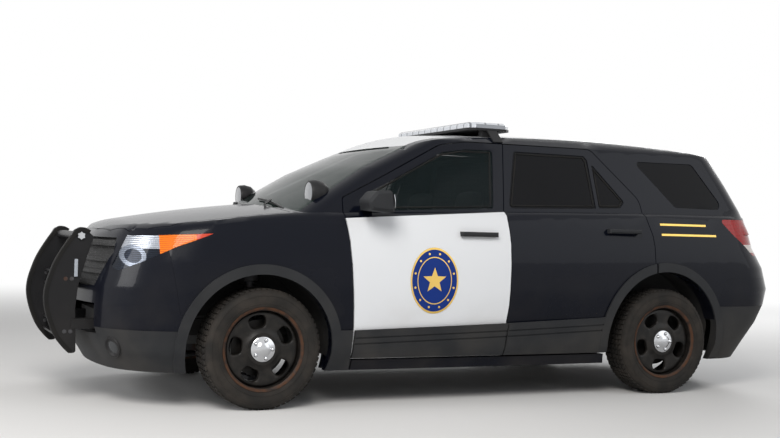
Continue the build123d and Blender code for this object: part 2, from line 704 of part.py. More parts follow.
def handle(place, skin):
    with BuildPart() as grip:
        with BuildSketch(Plane.XY.offset(place.z - HANDLE_HEIGHT / 2)):
            with Locations((place.x, skin + HANDLE_REACH / 2)):
                Rectangle(HANDLE_LENGTH, HANDLE_REACH)
            with Locations((place.x, skin)):
                Rectangle(HANDLE_LENGTH - 90, 2 * HANDLE_REACH - 32, mode=Mode.SUBTRACT)
        extrude(amount=HANDLE_HEIGHT)
        chamfer(grip.faces().sort_by(Axis.Y)[-1].edges(), length=9)
    return grip.part - lower_outer.part


front_handle = handle(FRONT_HANDLE, 968)
rear_handle = handle(REAR_HANDLE, 946)

# Mirror on an arm from the door's front corner
MIRROR = ((690, 1172), (845, 1186), (870, 1240), (815, 1302), (715, 1308))
MIRROR_Y = (975.0, 1145.0)
with BuildPart() as mirror_left:
    with BuildSketch(Plane.XZ.offset(-MIRROR_Y[1])):
        with BuildLine():
            FilletPolyline(MIRROR, radius=(20, 25, 35, 35, 20), close=True)
        make_face()
    extrude(amount=MIRROR_Y[0] - MIRROR_Y[1], dir=(0, 1, 0))
    chamfer(mirror_left.faces().sort_by(Axis.Y)[-1].edges(), length=18)
    add(half_box(745, 820, 880, 990, 1186, 1214))
mirror_left = mirror_left.part - lower_outer.part - greenhouse_hull()

# Wheels
BEAD_RADIUS = 236.0
TyreLine = namedtuple("TyreLine", "radius y")
TYRE_SECTION = (
    TyreLine(BEAD_RADIUS, 98), TyreLine(285, TYRE_WIDTH / 2), TyreLine(335, 116), TyreLine(TYRE_RADIUS, 94),
)
RIM_GAP = 0.4
BARREL_WALL = 9.0
DISC_SECTION = (
    (56, 52), (56, 84), (92, 84), (112, 70), (212, 70), (229, 46), (229, 36), (207, 61), (108, 61), (88, 74),
    (66, 74), (66, 52),
)
HOLE_COUNT = 5
HOLE_POINTS = ((-24, 138), (24, 138), (42, 196), (-42, 196))
HUB_RADIUS = 60.0
BRAKE_RADIUS = 165.0
CAP_RADIUS = 72.0


def turned(points, axle):
    """Solid turned about a wheel axle from a closed section of radius and offset."""
    with BuildPart() as solid:
        with BuildSketch(Plane.YZ.offset(axle.X)):
            with BuildLine():
                Polyline([(axle.Y + y, axle.Z + radius) for radius, y in points], close=True)
            make_face()
        revolve(axis=Axis((axle.X, axle.Y, axle.Z), (0, 1, 0)))
    return solid.part


def tyre(axle):
    outside = [(line.radius, line.y) for line in TYRE_SECTION]
    inside = [(line.radius, -line.y) for line in TYRE_SECTION[::-1]]
    return turned(outside + inside, axle)


def rim_wheel(axle):
    seat = BEAD_RADIUS - RIM_GAP
    barrel = turned(
        (
            (seat, -98.6), (247, -104.3), (247, -109.5), (seat - BARREL_WALL, -109.5),
            (seat - BARREL_WALL, 109.5), (247, 109.5), (247, 104.3), (seat, 98.6),
        ),
        axle,
    )
    disc = turned(DISC_SECTION, axle)
    hub = turned(((0, -40), (HUB_RADIUS, -40), (HUB_RADIUS, 62), (0, 62)), axle)
    bore = HUB_RADIUS - 5
    brake = turned(((bore, -34), (BRAKE_RADIUS, -34), (BRAKE_RADIUS, -8), (bore, -8)), axle)
    wheel = barrel + disc + hub + brake
    for step in range(HOLE_COUNT):
        angle = 2 * math.pi * step / HOLE_COUNT
        face = Plane(
            origin=(axle.X, axle.Y + 20, axle.Z), x_dir=(math.cos(angle), 0, math.sin(angle)), z_dir=(0, 1, 0)
        )
        wheel = wheel - across_prism(face, HOLE_POINTS, (14, 14, 26, 26), 80)
    cap = turned(((0, 84.4), (CAP_RADIUS, 84.4), (CAP_RADIUS, 92), (54, 106), (0, 110)), axle)
    return wheel, cap


FRONT_CENTRE = Vector(FRONT_AXLE, TRACK / 2, TYRE_RADIUS)
REAR_CENTRE = Vector(REAR_AXLE, TRACK / 2, TYRE_RADIUS)
front_tyre = tyre(FRONT_CENTRE)
rear_tyre = tyre(REAR_CENTRE)
front_rim, front_cap = rim_wheel(FRONT_CENTRE)
rear_rim, rear_cap = rim_wheel(REAR_CENTRE)

# Knuckles: an upright plate with a spindle boss, turning on a ball joint under the kingpin
HUB_FACE = TRACK / 2 - 40.0
UPRIGHT = (70.0, 745.0, 785.0, 186.0, 424.0)


def knuckle(axle_x):
    with BuildPart() as upright:
        add(half_box(
            axle_x - UPRIGHT[0] / 2, axle_x + UPRIGHT[0] / 2, UPRIGHT[1], UPRIGHT[2], UPRIGHT[3], UPRIGHT[4]
        ))
        with BuildSketch(Plane.XZ.offset(-(UPRIGHT[2] - 2))):
            with Locations((axle_x, TYRE_RADIUS)):
                Circle(50)
        extrude(amount=-(HUB_FACE - UPRIGHT[2] + 2 - SEAT_GAP))
        with BuildSketch(Plane.XZ.offset(-(UPRIGHT[2] - 10))):
            with Locations((axle_x - 115, TYRE_RADIUS + 20)):
                Rectangle(90, 110)
            with Locations((axle_x - 60, TYRE_RADIUS + 20)):
                Rectangle(70, 60)
        extrude(amount=-22)
    return upright.part


front_knuckle = knuckle(FRONT_AXLE)
rear_knuckle = knuckle(REAR_AXLE)


def rod(start, end, radius):
    """Round bar between two points."""
    way = Vector(*end) - Vector(*start)
    with BuildPart() as bar:
        with BuildSketch(Plane(origin=start, z_dir=way)):
            Circle(radius)
        extrude(amount=way.length)
    return bar.part


# Front suspension: subframe, lower arms with ball studs, and struts
BALL_STUD = 13.0
STRUT_FOOT = (FRONT_AXLE, 700.0, 437.0)
STRUT_HEAD = (FRONT_AXLE, 600.0, 900.0)
ARM_Z = (156.0, 177.0)
RAIL_Y = (440.0, 500.0)
RAIL_Z = (400.0, 500.0)
REAR_FLOOR_Z = (480.0, 520.0)
with BuildPart() as front_suspension:
    add(half_box(FRONT_AXLE - 260, FRONT_AXLE + 230, 330, 430, 215, 290))
    add(half_box(FRONT_AXLE - 260, FRONT_AXLE - 190, -1, 430, 215, 290))
    with BuildSketch(Plane.XY.offset(ARM_Z[0])):
        with BuildLine():
            Polyline(
                (FRONT_AXLE - 215, 390), (FRONT_AXLE - 150, 390), (FRONT_AXLE, 560), (FRONT_AXLE + 150, 390),
                (FRONT_AXLE + 215, 390), (FRONT_AXLE + 34, 690), (FRONT_AXLE + 30, 775),
                (FRONT_AXLE - 30, 775), (FRONT_AXLE - 34, 690), close=True,
            )
        make_face()
    extrude(amount=ARM_Z[1] - ARM_Z[0])
    add(rod((FRONT_AXLE, KINGPIN_Y, ARM_Z[1] - 5), (FRONT_AXLE, KINGPIN_Y, UPRIGHT[3] - SEAT_GAP), BALL_STUD))
    for x in (FRONT_AXLE - 180, FRONT_AXLE + 180):
        add(half_box(x - 30, x + 30, 385, 430, ARM_Z[0], 230))
        add(half_box(x - 30, x + 30, 400, 480, 250, RAIL_Z[0] - SEAT_GAP))
    mirror(about=Plane.XZ)
SPRING_FOOT = (FRONT_AXLE, 636.7, 730.0)
SPRING_HEAD = (FRONT_AXLE, 604.3, 880.0)
front_strut = rod(STRUT_FOOT, STRUT_HEAD, 27) + rod(SPRING_FOOT, SPRING_HEAD, 62)

# Rear suspension: subframe, links, springs and the fixed knuckles
Link = namedtuple("Link", "x inner_z outer_z")
REAR_LINKS = (Link(-110, 340, 225), Link(110, 340, 225), Link(60, 350, 400))
with BuildPart() as rear_suspension:
    add(half_box(REAR_AXLE - 170, REAR_AXLE + 190, -450, 450, 330, 400))
    for side in (-1, 1):
        for link in REAR_LINKS:
            inner = (REAR_AXLE + link.x, side * 420, link.inner_z)
            outer = (REAR_AXLE + link.x * 0.25, side * 765, link.outer_z)
            add(rod(inner, outer, 17))
        add(rod((REAR_AXLE, side * 560, 260), (REAR_AXLE, side * 560, REAR_FLOOR_Z[0] - SEAT_GAP), 45))
        add(half_box(REAR_AXLE - 60, REAR_AXLE + 60, side * 560 - 60, side * 560 + 60, 235, 270))
    add(rear_knuckle)
    add(mirrored(rear_knuckle))

# Floor, firewall, rails and rear floor
FLOOR_Z = (300.0, 330.0)
FIREWALL_X = (1062.0, 1100.0)
TOWER_Z = 906.0
tub = body_lining(NOSE_WALL + SEAT_GAP)
with BuildPart() as floor_pan:
    add(half_box(-950, FIREWALL_X[1], -735, 735, *FLOOR_Z))
    add(half_box(-985, -950, -735, 735, FLOOR_Z[0], REAR_FLOOR_Z[1]))
    add(half_box(-2420, -950, -628, 628, *REAR_FLOOR_Z) & tub)
    add(half_box(-2420, -1960, -800, 800, *REAR_FLOOR_Z) & tub)
    add(half_box(*FIREWALL_X, -735, 735, FLOOR_Z[0], 1080))
    add(half_box(-400, FIREWALL_X[0], -130, 130, FLOOR_Z[0], 470))
    add(half_box(-400, FIREWALL_X[0], -95, 95, FLOOR_Z[0] - 5, 435), mode=Mode.SUBTRACT)
    add(half_box(-2475, -2415, -700, 700, REAR_FLOOR_Z[0], 782) & tub)
    for well in (front_well, rear_well):
        add(well, mode=Mode.SUBTRACT)
        add(mirrored(well), mode=Mode.SUBTRACT)
    for side in (-1, 1):
        inner, outer = sorted((side * RAIL_Y[0], side * RAIL_Y[1]))
        add(half_box(1000, 2215, inner, outer, *RAIL_Z))
        inner, outer = sorted((side * (RAIL_Y[1] - 12), side * RAIL_Y[1]))
        add(half_box(FRONT_AXLE - 80, FRONT_AXLE + 80, inner, outer, RAIL_Z[0], TOWER_Z + 12))
        inner, outer = sorted((side * (RAIL_Y[1] - 12), side * 690))
        add(half_box(FRONT_AXLE - 80, FRONT_AXLE + 80, inner, outer, TOWER_Z, TOWER_Z + 12))
    add(half_box(2170, 2230, -560, 560, 420, 520))

# Wheelhouse liners
def liner(arch, radius, y_in, y_out, apron_z):
    """Curved liner over a wheel, with an inner apron above a height."""
    ring = wheel_disc(*arch[:2], radius + LINER_WALL, y_in - LINER_WALL, y_out)
    ring = ring - wheel_disc(*arch[:2], radius, y_in, y_out + 1)
    ring = ring & half_box(-2100, 2100, 0, 1100, 300, 1000)
    return ring - half_box(-2100, 2100, y_in - LINER_WALL - 1, y_in, 200, apron_z)


front_liner = liner(FRONT_ARCH, FRONT_LINER_RADIUS, FRONT_WELL_Y, 960, 520)
front_liner = front_liner & body_lining(NOSE_WALL + SEAT_GAP)
front_liner = front_liner - rod((FRONT_AXLE, 612, 640), (FRONT_AXLE, 612, 1000), 82)
rear_liner = liner(REAR_ARCH, REAR_LINER_RADIUS, REAR_WELL_Y, 900, 530) & body_lining(DOOR_WALL + SEAT_GAP)

# Heavy masses: engine with gearbox as a plain block, tank and exhaust
with BuildPart() as engine_block:
    add(half_box(1250, 1900, -330, 330, 330, 960))
    add(half_box(1500, 1600, SEAT_GAP - RAIL_Y[0], RAIL_Y[0] - SEAT_GAP, 430, 480))
fuel_tank = half_box(-1210, -992, -180, 500, 235, REAR_FLOOR_Z[0] - SEAT_GAP)
PIPE_RADIUS = 30.0
EXHAUST_PATH = ((1150, -250, 240), (-1620, -250, 240), (-1850, -480, 250), (-2255, -480, 262))
with BuildPart() as exhaust:
    with BuildLine() as pipe_line:
        FilletPolyline(*EXHAUST_PATH, radius=90)
    with BuildSketch(Plane(origin=EXHAUST_PATH[0], z_dir=(-1, 0, 0))):
        Circle(PIPE_RADIUS)
    sweep(path=pipe_line.line)
    add(half_box(-310, -290, -262, -238, 250, FLOOR_Z[0] - SEAT_GAP))
    add(half_box(-2010, -1990, -492, -468, 300, REAR_FLOOR_Z[0] - SEAT_GAP))
    add(half_box(-2200, -1880, -560, -400, 225, 330))

# Push bumper: two upright plates, cross channels and a top tube
PUSH_Y = 400.0
PUSH_WALL = 40.0
LEAD_X = 2606.0
UPRIGHT_SIDE = (
    (2330, 985), (2385, 1036), (2440, 1030), (2545, 850), (LEAD_X, 657), (LEAD_X - 6, 560), (2540, 400),
    (2455, 296), (2418, 300), (2424, 470), (2428, 560), (2415, 693), (2370, 860),
)
UPRIGHT_RADII = (15, 20, 30, 150, 60, 60, 150, 20, 15, 60, 60, 60, 120)
with BuildPart() as push_bumper:
    for side in (-1, 1):
        with BuildSketch(Plane.XZ.offset(-side * PUSH_Y - PUSH_WALL / 2)):
            with BuildLine():
                FilletPolyline(UPRIGHT_SIDE, radius=UPRIGHT_RADII, close=True)
            make_face()
            with Locations((2490, 740), (2505, 600), (2480, 470)):
                SlotOverall(70, 26, rotation=-72, mode=Mode.SUBTRACT)
        extrude(amount=PUSH_WALL)
        add(half_box(2230 + SEAT_GAP, 2450, side * PUSH_Y - 30, side * PUSH_Y + 30, 440, 500))
    add(half_box(2440, 2500, -PUSH_Y, PUSH_Y, 670, 765))
    add(half_box(2440, 2500, -PUSH_Y, PUSH_Y, 375, 465))
    add(half_box(2452, 2501, -PUSH_Y + 21, PUSH_Y - 21, 682, 753), mode=Mode.SUBTRACT)
    add(half_box(2452, 2501, -PUSH_Y + 21, PUSH_Y - 21, 387, 453), mode=Mode.SUBTRACT)
    add(rod((2405, -PUSH_Y - 34, 990), (2405, PUSH_Y + 34, 990), 24))

# Light bar on feet with hook straps, and spotlights
BAR_X = (-400.0, -80.0)
BAR_Z = (1752.0, 1768.0, 1806.0)
BAR_HALF = 600.0
with BuildPart() as light_bar_base:
    with Locations(((BAR_X[0] + BAR_X[1]) / 2, 0, (BAR_Z[0] + BAR_Z[1]) / 2)):
        Box(BAR_X[1] - BAR_X[0], 2 * BAR_HALF, BAR_Z[1] - BAR_Z[0])
    chamfer(light_bar_base.edges().filter_by(Axis.Z), length=45)
    for side in (-1, 1):
        add(half_box(-300, -180, side * 560 - 25, side * 560 + 25, 1690, 1756))
        with BuildSketch(Plane.YZ.offset(-275)):
            with BuildLine():
                Polyline([
                    (side * 570, 1752), (side * 612, 1752), (side * 668, 1703), (side * 700, 1672),
                    (side * 690, 1664), (side * 660, 1695), (side * 606, 1744), (side * 570, 1744),
                ], close=True)
            make_face()
        extrude(amount=70)
light_bar_base = light_bar_base.part - greenhouse_outer.part
with BuildPart() as light_bar_lens:
    with Locations(((BAR_X[0] + BAR_X[1]) / 2, 0, (BAR_Z[1] + BAR_Z[2]) / 2)):
        Box(BAR_X[1] - BAR_X[0] - 8, 2 * BAR_HALF - 8, BAR_Z[2] - BAR_Z[1])
    chamfer(light_bar_lens.edges().filter_by(Axis.Z), length=45)
    chamfer(light_bar_lens.faces().sort_by(Axis.Z)[-1].edges(), length=14)
SPOT = Vector(1040, 735, 1285)
with BuildPart() as spotlight:
    with BuildSketch(Plane(origin=(SPOT.X, SPOT.Y, SPOT.Z), x_dir=(1, 0, 0), z_dir=(0, -1, 0))):
        with BuildLine():
            Polyline((62, 0), (62, 74), (55, 78), (20, 82), (-25, 72), (-58, 45), (-70, 0), close=True)
        make_face()
    revolve(axis=Axis((SPOT.X, SPOT.Y, SPOT.Z), (1, 0, 0)))
    add(rod((SPOT.X - 10, SPOT.Y + 20, SPOT.Z - 60), (SPOT.X - 60, SPOT.Y + 95, SPOT.Z - 150), 12))
spotlight = spotlight.part - greenhouse_hull() - lower_outer.part

# Cabin: dashboard with steering wheel and console, seats, partition
DASH = ((800, 1000), (840, 1110), (1035, 1150), (1061.6, 1150), (1061.6, 700), (950, 640), (880, 760))
with BuildPart() as dashboard:
    with BuildSketch(Plane.XZ.offset(-720)):
        with BuildLine():
            FilletPolyline(DASH, radius=(40, 60, 20, 0, 0, 40, 60), close=True)
        make_face()
    extrude(amount=1440)
    add(half_box(100, 960, -120, 120, 471, 700))
    add(rod((860, 370, 900), (640, 370, 996), 28))
    with BuildSketch(Plane(origin=(650, 370, 990), x_dir=(0, 1, 0), z_dir=(-0.92, 0, 0.39))):
        Circle(190)
        Circle(162, mode=Mode.SUBTRACT)
        Rectangle(360, 34)
        with Locations((0, -85)):
            Rectangle(34, 160)
        Circle(62)
    extrude(amount=26)


def seat(x, y, width, cushion, base, back_height, headrest):
    """Cushion and reclined back, with a headrest; x is the rear of the cushion."""
    with BuildPart() as solid:
        with BuildSketch(Plane.XZ.offset(-(y + width / 2))):
            with BuildLine():
                FilletPolyline(
                    [
                        (x - 40, base), (x + cushion, base + 30), (x + cushion + 10, base + 170),
                        (x + 105, base + 135), (x - 95, back_height), (x - 215, back_height),
                        (x - 80, base + 30),
                    ],
                    radius=(20, 60, 60, 60, 45, 45, 60), close=True,
                )
            make_face()
        extrude(amount=width)
        if headrest:
            with BuildSketch(Plane.XZ.offset(-(y + 130))):
                with BuildLine():
                    FilletPolyline(
                        [
                            (x - 120, back_height - 20), (x - 150, back_height + 195),
                            (x - 235, back_height + 195), (x - 215, back_height - 20),
                        ],
                        radius=(0, 30, 30, 0), close=True,
                    )
                make_face()
            extrude(amount=260)
        add(half_box(x + 60, x + cushion - 60, y - width / 2 + 60, y + width / 2 - 60, FLOOR_Z[1], base + 60))
    return solid.part


driver_seat = seat(-30, 380, 500, 480, 440, 1150, True)
rear_bench = seat(-1000, 0, 1180, 470, 524, 1140, False)
PARTITION = ((-640, 640), (640, 640), (600, 1250), (500, 1600), (-500, 1600), (-600, 1250))
PARTITION_WINDOW = ((-545, 1130), (545, 1130), (530, 1260), (440, 1560), (-440, 1560), (-530, 1260))
with BuildPart() as partition:
    with BuildSketch(Plane.YZ.offset(-372)):
        with BuildLine():
            Polyline(PARTITION, close=True)
        make_face()
        with BuildLine():
            Polyline(PARTITION_WINDOW, close=True)
        make_face(mode=Mode.SUBTRACT)
    extrude(amount=12)
    add(half_box(-372, -360, -560, -500, 330, 650))
    add(half_box(-372, -360, 500, 560, 330, 650))


# Every node under its own name
def both(*pieces):
    """Left-hand pieces with their mirror images."""
    return [*pieces, *[mirrored(piece) for piece in pieces]]


front_wheel = (front_rim, front_cap)
rear_wheel = (rear_rim, rear_cap)
front_door_trim = (front_cladding, front_handle, mirror_left)
rear_door_trim = (rear_cladding, rear_door_flare, rear_handle)
nodes = {
    "floor_pan": [floor_pan.part],
    "body_sides": both(body_side_left.part),
    "roof_panel": [roof_panel],
    "fenders": both(fender),
    "front_bumper": [front_bumper],
    "front_valance": [front_valance],
    "grille": [grille.part],
    "headlamps": both(headlamp),
    "push_bumper": [push_bumper.part],
    "rear_bumper": [rear_bumper],
    "rear_valance": [rear_valance],
    "tail_lamps": both(tail_lamp),
    "windshield": [windshield],
    "quarter_glass": both(quarter_pane),
    "cowl": [cowl],
    "arch_flares": both(front_flare, rear_flare),
    "light_bar_base": [light_bar_base],
    "light_bar_lens": [light_bar_lens.part],
    "spotlights": both(spotlight),
    "front_suspension": [front_suspension.part, *both(front_strut)],
    "rear_suspension": [rear_suspension.part],
    "wheelhouses": both(front_liner, rear_liner),
    "exhaust": [exhaust.part],
    "fuel_tank": [fuel_tank],
    "engine_block": [engine_block.part],
    "dashboard": [dashboard.part],
    "front_seats": both(driver_seat),
    "rear_bench": [rear_bench],
    "partition": [partition.part],
    "hood": [hood],
    "liftgate": [liftgate],
    "liftgate_glass": [gate_pane],
}
for side, made in (("left", list), ("right", lambda pieces: [mirrored(piece) for piece in pieces])):
    nodes["door_front_" + side] = made([front_door])
    nodes["door_rear_" + side] = made([rear_door])
    nodes["glass_front_" + side] = made([front_pane])
    nodes["glass_rear_" + side] = made([rear_pane, vent_pane])
    nodes["trim_front_" + side] = made(front_door_trim)
    nodes["trim_rear_" + side] = made(rear_door_trim)
    nodes["knuckle_" + side] = made([front_knuckle])
    nodes["tyre_front_" + side] = made([front_tyre])
    nodes["tyre_rear_" + side] = made([rear_tyre])
    nodes["rim_front_" + side] = made(front_wheel)
    nodes["rim_rear_" + side] = made(rear_wheel)

os.makedirs("parts", exist_ok=True)
for name, pieces in nodes.items():
    with BuildPart() as node:
        for piece in pieces:
            add(piece)
    node.part.label = name
    export_step(node.part, f"parts/{name}.step")
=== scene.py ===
import math

import bmesh
import bpy
from mathutils import Matrix, Vector
from mathutils.bvhtree import BVHTree


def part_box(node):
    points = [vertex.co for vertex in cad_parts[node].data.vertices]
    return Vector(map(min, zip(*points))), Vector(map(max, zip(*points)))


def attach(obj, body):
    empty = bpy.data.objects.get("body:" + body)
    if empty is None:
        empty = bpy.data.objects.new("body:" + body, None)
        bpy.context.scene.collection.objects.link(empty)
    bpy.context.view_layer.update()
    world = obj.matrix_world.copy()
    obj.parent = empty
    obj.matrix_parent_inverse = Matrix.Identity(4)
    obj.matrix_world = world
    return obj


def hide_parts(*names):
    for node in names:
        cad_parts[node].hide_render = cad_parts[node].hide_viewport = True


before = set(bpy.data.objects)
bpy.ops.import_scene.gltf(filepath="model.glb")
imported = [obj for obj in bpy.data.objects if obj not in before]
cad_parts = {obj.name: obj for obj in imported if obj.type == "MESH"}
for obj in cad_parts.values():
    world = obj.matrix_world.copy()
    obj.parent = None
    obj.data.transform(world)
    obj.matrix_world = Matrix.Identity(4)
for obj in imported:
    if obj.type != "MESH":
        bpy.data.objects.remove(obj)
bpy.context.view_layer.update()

bl_info = {
    "name": "Police utility vehicle",
    "version": (1, 0, 0),
    "blender": (4, 5, 0),
    "location": "3D View > Sidebar > Vehicle",
    "description": "Finishes, wheels, lamps and equipment of a police utility vehicle",
    "category": "Object",
}

WHEELBASE = 2.865
AXLES = {"front": WHEELBASE / 2, "rear": -WHEELBASE / 2}
TYRE_RADIUS = 0.355
TRACK = 1.7
SIDES = {"left": 1, "right": -1}
# Fall of the belt line towards the front
BELT_SLOPE = 0.062
# Where rays at the body's side, front and top start, well outside it
OUTSIDE = 1.4
AHEAD = 2.8
ABOVE = 2.0


# Shader maths: a socket that takes Python operators

class Socket:
    def __init__(self, tree, output):
        self.tree = tree
        self.output = output

    def maths(self, operation, *values):
        return self.tree.node("ShaderNodeMath", {"operation": operation}, *values)

    def __add__(self, other):
        return self.maths("ADD", self, other)

    def __sub__(self, other):
        return self.maths("SUBTRACT", self, other)

    def __mul__(self, other):
        return self.maths("MULTIPLY", self, other)

    def __rsub__(self, other):
        return self.maths("SUBTRACT", other, self)

    def __gt__(self, other):
        return self.maths("GREATER_THAN", self, other)

    def __lt__(self, other):
        return self.maths("LESS_THAN", self, other)

    __radd__ = __add__
    __rmul__ = __mul__

    def size(self):
        return self.maths("ABSOLUTE", self)

    def length_with(self, other):
        return self.maths("SQRT", self * self + other * other)

    def clamped(self):
        return self.tree.node("ShaderNodeClamp", {}, self)

    def step(self, low, high):
        """0 below low, 1 above high, and smooth between them."""
        settings = {"interpolation_type": "SMOOTHSTEP"}
        return self.tree.node("ShaderNodeMapRange", settings, self, low, high, 0.0, 1.0)


class Finish:
    """One node material under construction."""

    def __init__(self, name):
        self.material = bpy.data.materials.new(name)
        self.material.use_nodes = True
        self.nodes = self.material.node_tree.nodes
        self.links = self.material.node_tree.links
        self.shader = self.nodes["Principled BSDF"]
        coordinates = self.nodes.new("ShaderNodeTexCoord")
        self.place = Socket(self, coordinates.outputs["Object"])
        split = self.nodes.new("ShaderNodeSeparateXYZ")
        self.links.new(coordinates.outputs["Object"], split.inputs[0])
        self.x, self.y, self.z = (Socket(self, output) for output in split.outputs)

    def put(self, socket, value):
        if isinstance(value, Socket):
            self.links.new(value.output, socket)
        elif hasattr(value, "__len__"):
            socket.default_value = tuple(value) + ((1.0,) if len(value) < len(socket.default_value) else ())
        else:
            socket.default_value = value

    def node(self, kind, settings, *values, output=0, **named):
        new = self.nodes.new(kind)
        for key, value in settings.items():
            setattr(new, key, value)
        inputs = [socket for socket in new.inputs if socket.enabled]
        for socket, value in zip(inputs, values):
            if value is not None:
                self.put(socket, value)
        for key, value in named.items():
            self.put(new.inputs[key.replace("_", " ")], value)
        return Socket(self, [socket for socket in new.outputs if socket.enabled][output])

    def mix(self, factor, one, two):
        return self.node("ShaderNodeMix", {"data_type": "RGBA"}, factor, one, two)

    def noise(self, scale, detail=3.0, stretch=None):
        place = self.place
        if stretch:
            place = self.node("ShaderNodeMapping", {}, place, (0, 0, 0), (0, 0, 0), stretch)
        return self.node("ShaderNodeTexNoise", {}, place, Scale=scale, Detail=detail)

    def bands(self, scale, direction="Z", distortion=0.0):
        settings = {"wave_type": "BANDS", "bands_direction": direction}
        return self.node("ShaderNodeTexWave", settings, self.place, Scale=scale, Distortion=distortion)

    def cells(self, scale):
        settings = {"feature": "DISTANCE_TO_EDGE"}
        return self.node("ShaderNodeTexVoronoi", settings, self.place, Scale=scale)

    def bump(self, height, distance, strength=1.0):
        self.put(self.shader.inputs["Normal"], self.node(
            "ShaderNodeBump", {}, Strength=strength, Distance=distance, Height=height))

    def set(self, **values):
        for key, value in values.items():
            self.put(self.shader.inputs[key.replace("_", " ")], value)
        return self


def settings_of(context):
    return context.scene.police_vehicle


class VehicleSettings(bpy.types.PropertyGroup):
    """Sizes and colours that a user would change."""

    paint: bpy.props.FloatVectorProperty(
        name="Body paint", description="Deep blue-black of the body", subtype="COLOR", size=3,
        default=(0.0025, 0.0035, 0.008))
    white: bpy.props.FloatVectorProperty(
        name="White paint", description="White of the front doors and roof", subtype="COLOR", size=3,
        default=(0.74, 0.76, 0.79))
    plastic: bpy.props.FloatVectorProperty(
        name="Cladding", description="Grained plastic of flares and cladding", subtype="COLOR", size=3,
        default=(0.017, 0.018, 0.02))
    dirt: bpy.props.FloatProperty(
        name="Road dirt", description="How much dust lies on the lower body", default=0.35, min=0.0, max=1.0)
    belt: bpy.props.FloatProperty(
        name="White edge", description="Height of the top of the white paint on the doors", default=1.194,
        unit="LENGTH")
    pitches: bpy.props.IntProperty(
        name="Tread pitches", description="Tread blocks round a tyre", default=64, min=20, max=100)
    emblem: bpy.props.FloatProperty(
        name="Emblem height", description="Height of the door emblem", default=0.408, unit="LENGTH")


# Finishes

# Indices of refraction, lower than the real ones so that black stays black on the white stage
PAINT_IOR = 1.18
COAT_IOR = 1.3
PLASTIC_IOR = 1.25
WHEEL_IOR = 1.3
GLASS_IOR = 1.16

COAT_WEIGHT = 0.35
COAT_ROUGHNESS = 0.03
LAMP_COAT_ROUGHNESS = 0.02
PAINT_GRAIN = 900.0
DUST_ON_PAINT = (0.1, 0.088, 0.073)
DUST_ON_WHITE = (0.33, 0.28, 0.22)
DUST_ON_PLASTIC = (0.085, 0.076, 0.064)
DUST_ON_BLACK = (0.05, 0.043, 0.037)
WHEEL_BLACK = (0.008, 0.0075, 0.007)
RUST = (0.075, 0.034, 0.018)
RUSTY_LIP = (0.226, 0.236)


def dust(finish, top, amount):
    """Mask of road dust, thicker towards the ground."""
    height = 1 - finish.z.step(0.2, top)
    return (height * finish.noise(3.0, 6.0).step(0.35, 0.75) * amount).clamped()


def lacquer(finish, base, dusty, roughness, dulling):
    """Clear coat with faint waves and grain, duller where dust lies."""
    waves = finish.noise(1.7, 2.0)
    finish.set(Base_Color=base, IOR=PAINT_IOR,
               Roughness=(waves * 0.05 + roughness + dusty * dulling).clamped(),
               Coat_Weight=(1.0 - dusty) * COAT_WEIGHT, Coat_Roughness=COAT_ROUGHNESS, Coat_IOR=COAT_IOR)
    finish.bump(finish.noise(PAINT_GRAIN, 2.0), 0.00003, 0.25)
    return finish


def gloss_paint(name, colour, dirt):
    finish = Finish(name)
    dusty = dust(finish, 1.0, dirt)
    base = finish.mix(dusty * 0.45, colour, DUST_ON_PAINT)
    return lacquer(finish, base, dusty, 0.24, 0.5)


def door_paint(name, white, paint, belt, dirt):
    """White below the belt line, blue-black above."""
    finish = Finish(name)
    upper = (finish.z + finish.x * BELT_SLOPE) > belt
    dusty = dust(finish, 0.8, dirt * 0.9)
    base = finish.mix(upper, finish.mix(dusty, white, DUST_ON_WHITE), paint)
    return lacquer(finish, base, dusty, 0.2, 0.4)


def grained_plastic(name, colour, roughness, dirt, grain=1400.0):
    finish = Finish(name)
    dusty = dust(finish, 0.9, dirt)
    patches = finish.noise(6.0, 4.0)
    speckled = finish.mix(patches, colour, tuple(c * 1.5 + 0.004 for c in colour))
    finish.set(Base_Color=finish.mix(dusty, speckled, DUST_ON_PLASTIC), IOR=PLASTIC_IOR,
               Roughness=(patches * 0.12 + roughness + dusty * 0.25).clamped())
    finish.bump(finish.cells(grain), 0.00025, 0.5)
    return finish


def rubber(name, colour, dirt):
    finish = Finish(name)
    patches = finish.noise(9.0, 6.0)
    dusty = (patches.step(0.3, 0.8) * dirt).clamped()
    finish.set(Base_Color=finish.mix(dusty, colour, DUST_ON_BLACK), IOR=PLASTIC_IOR,
               Roughness=(patches * 0.2 + 0.68).clamped())
    finish.bump(finish.noise(700.0, 3.0), 0.0002, 0.4)
    return finish


def tinted_glass(name, colour, alpha):
    finish = Finish(name)
    streaks = finish.noise(2.2, 4.0, (1.0, 1.0, 0.3))
    finish.set(Base_Color=finish.mix(streaks, colour, tuple(c * 1.3 + 0.002 for c in colour)),
               Roughness=(streaks.step(0.45, 0.8) * 0.05 + 0.02).clamped(), Alpha=alpha, IOR=GLASS_IOR)
    finish.material.surface_render_method = "BLENDED"
    return finish


def metal(name, colour, roughness, scratches, patina=None):
    finish = Finish(name)
    lines = finish.noise(60.0, 4.0, (1.0, 6.0, 1.0))
    patches = finish.noise(8.0, 6.0)
    base = finish.mix(patches, colour, tuple(c * 0.82 for c in colour))
    if patina:
        base = finish.mix(patches.step(0.5, 0.75), base, patina)
    finish.set(Base_Color=base, Metallic=1.0,
               Roughness=(lines * scratches + patches * 0.1 + roughness).clamped())
    finish.bump(lines, 0.0001, 0.2)
    return finish


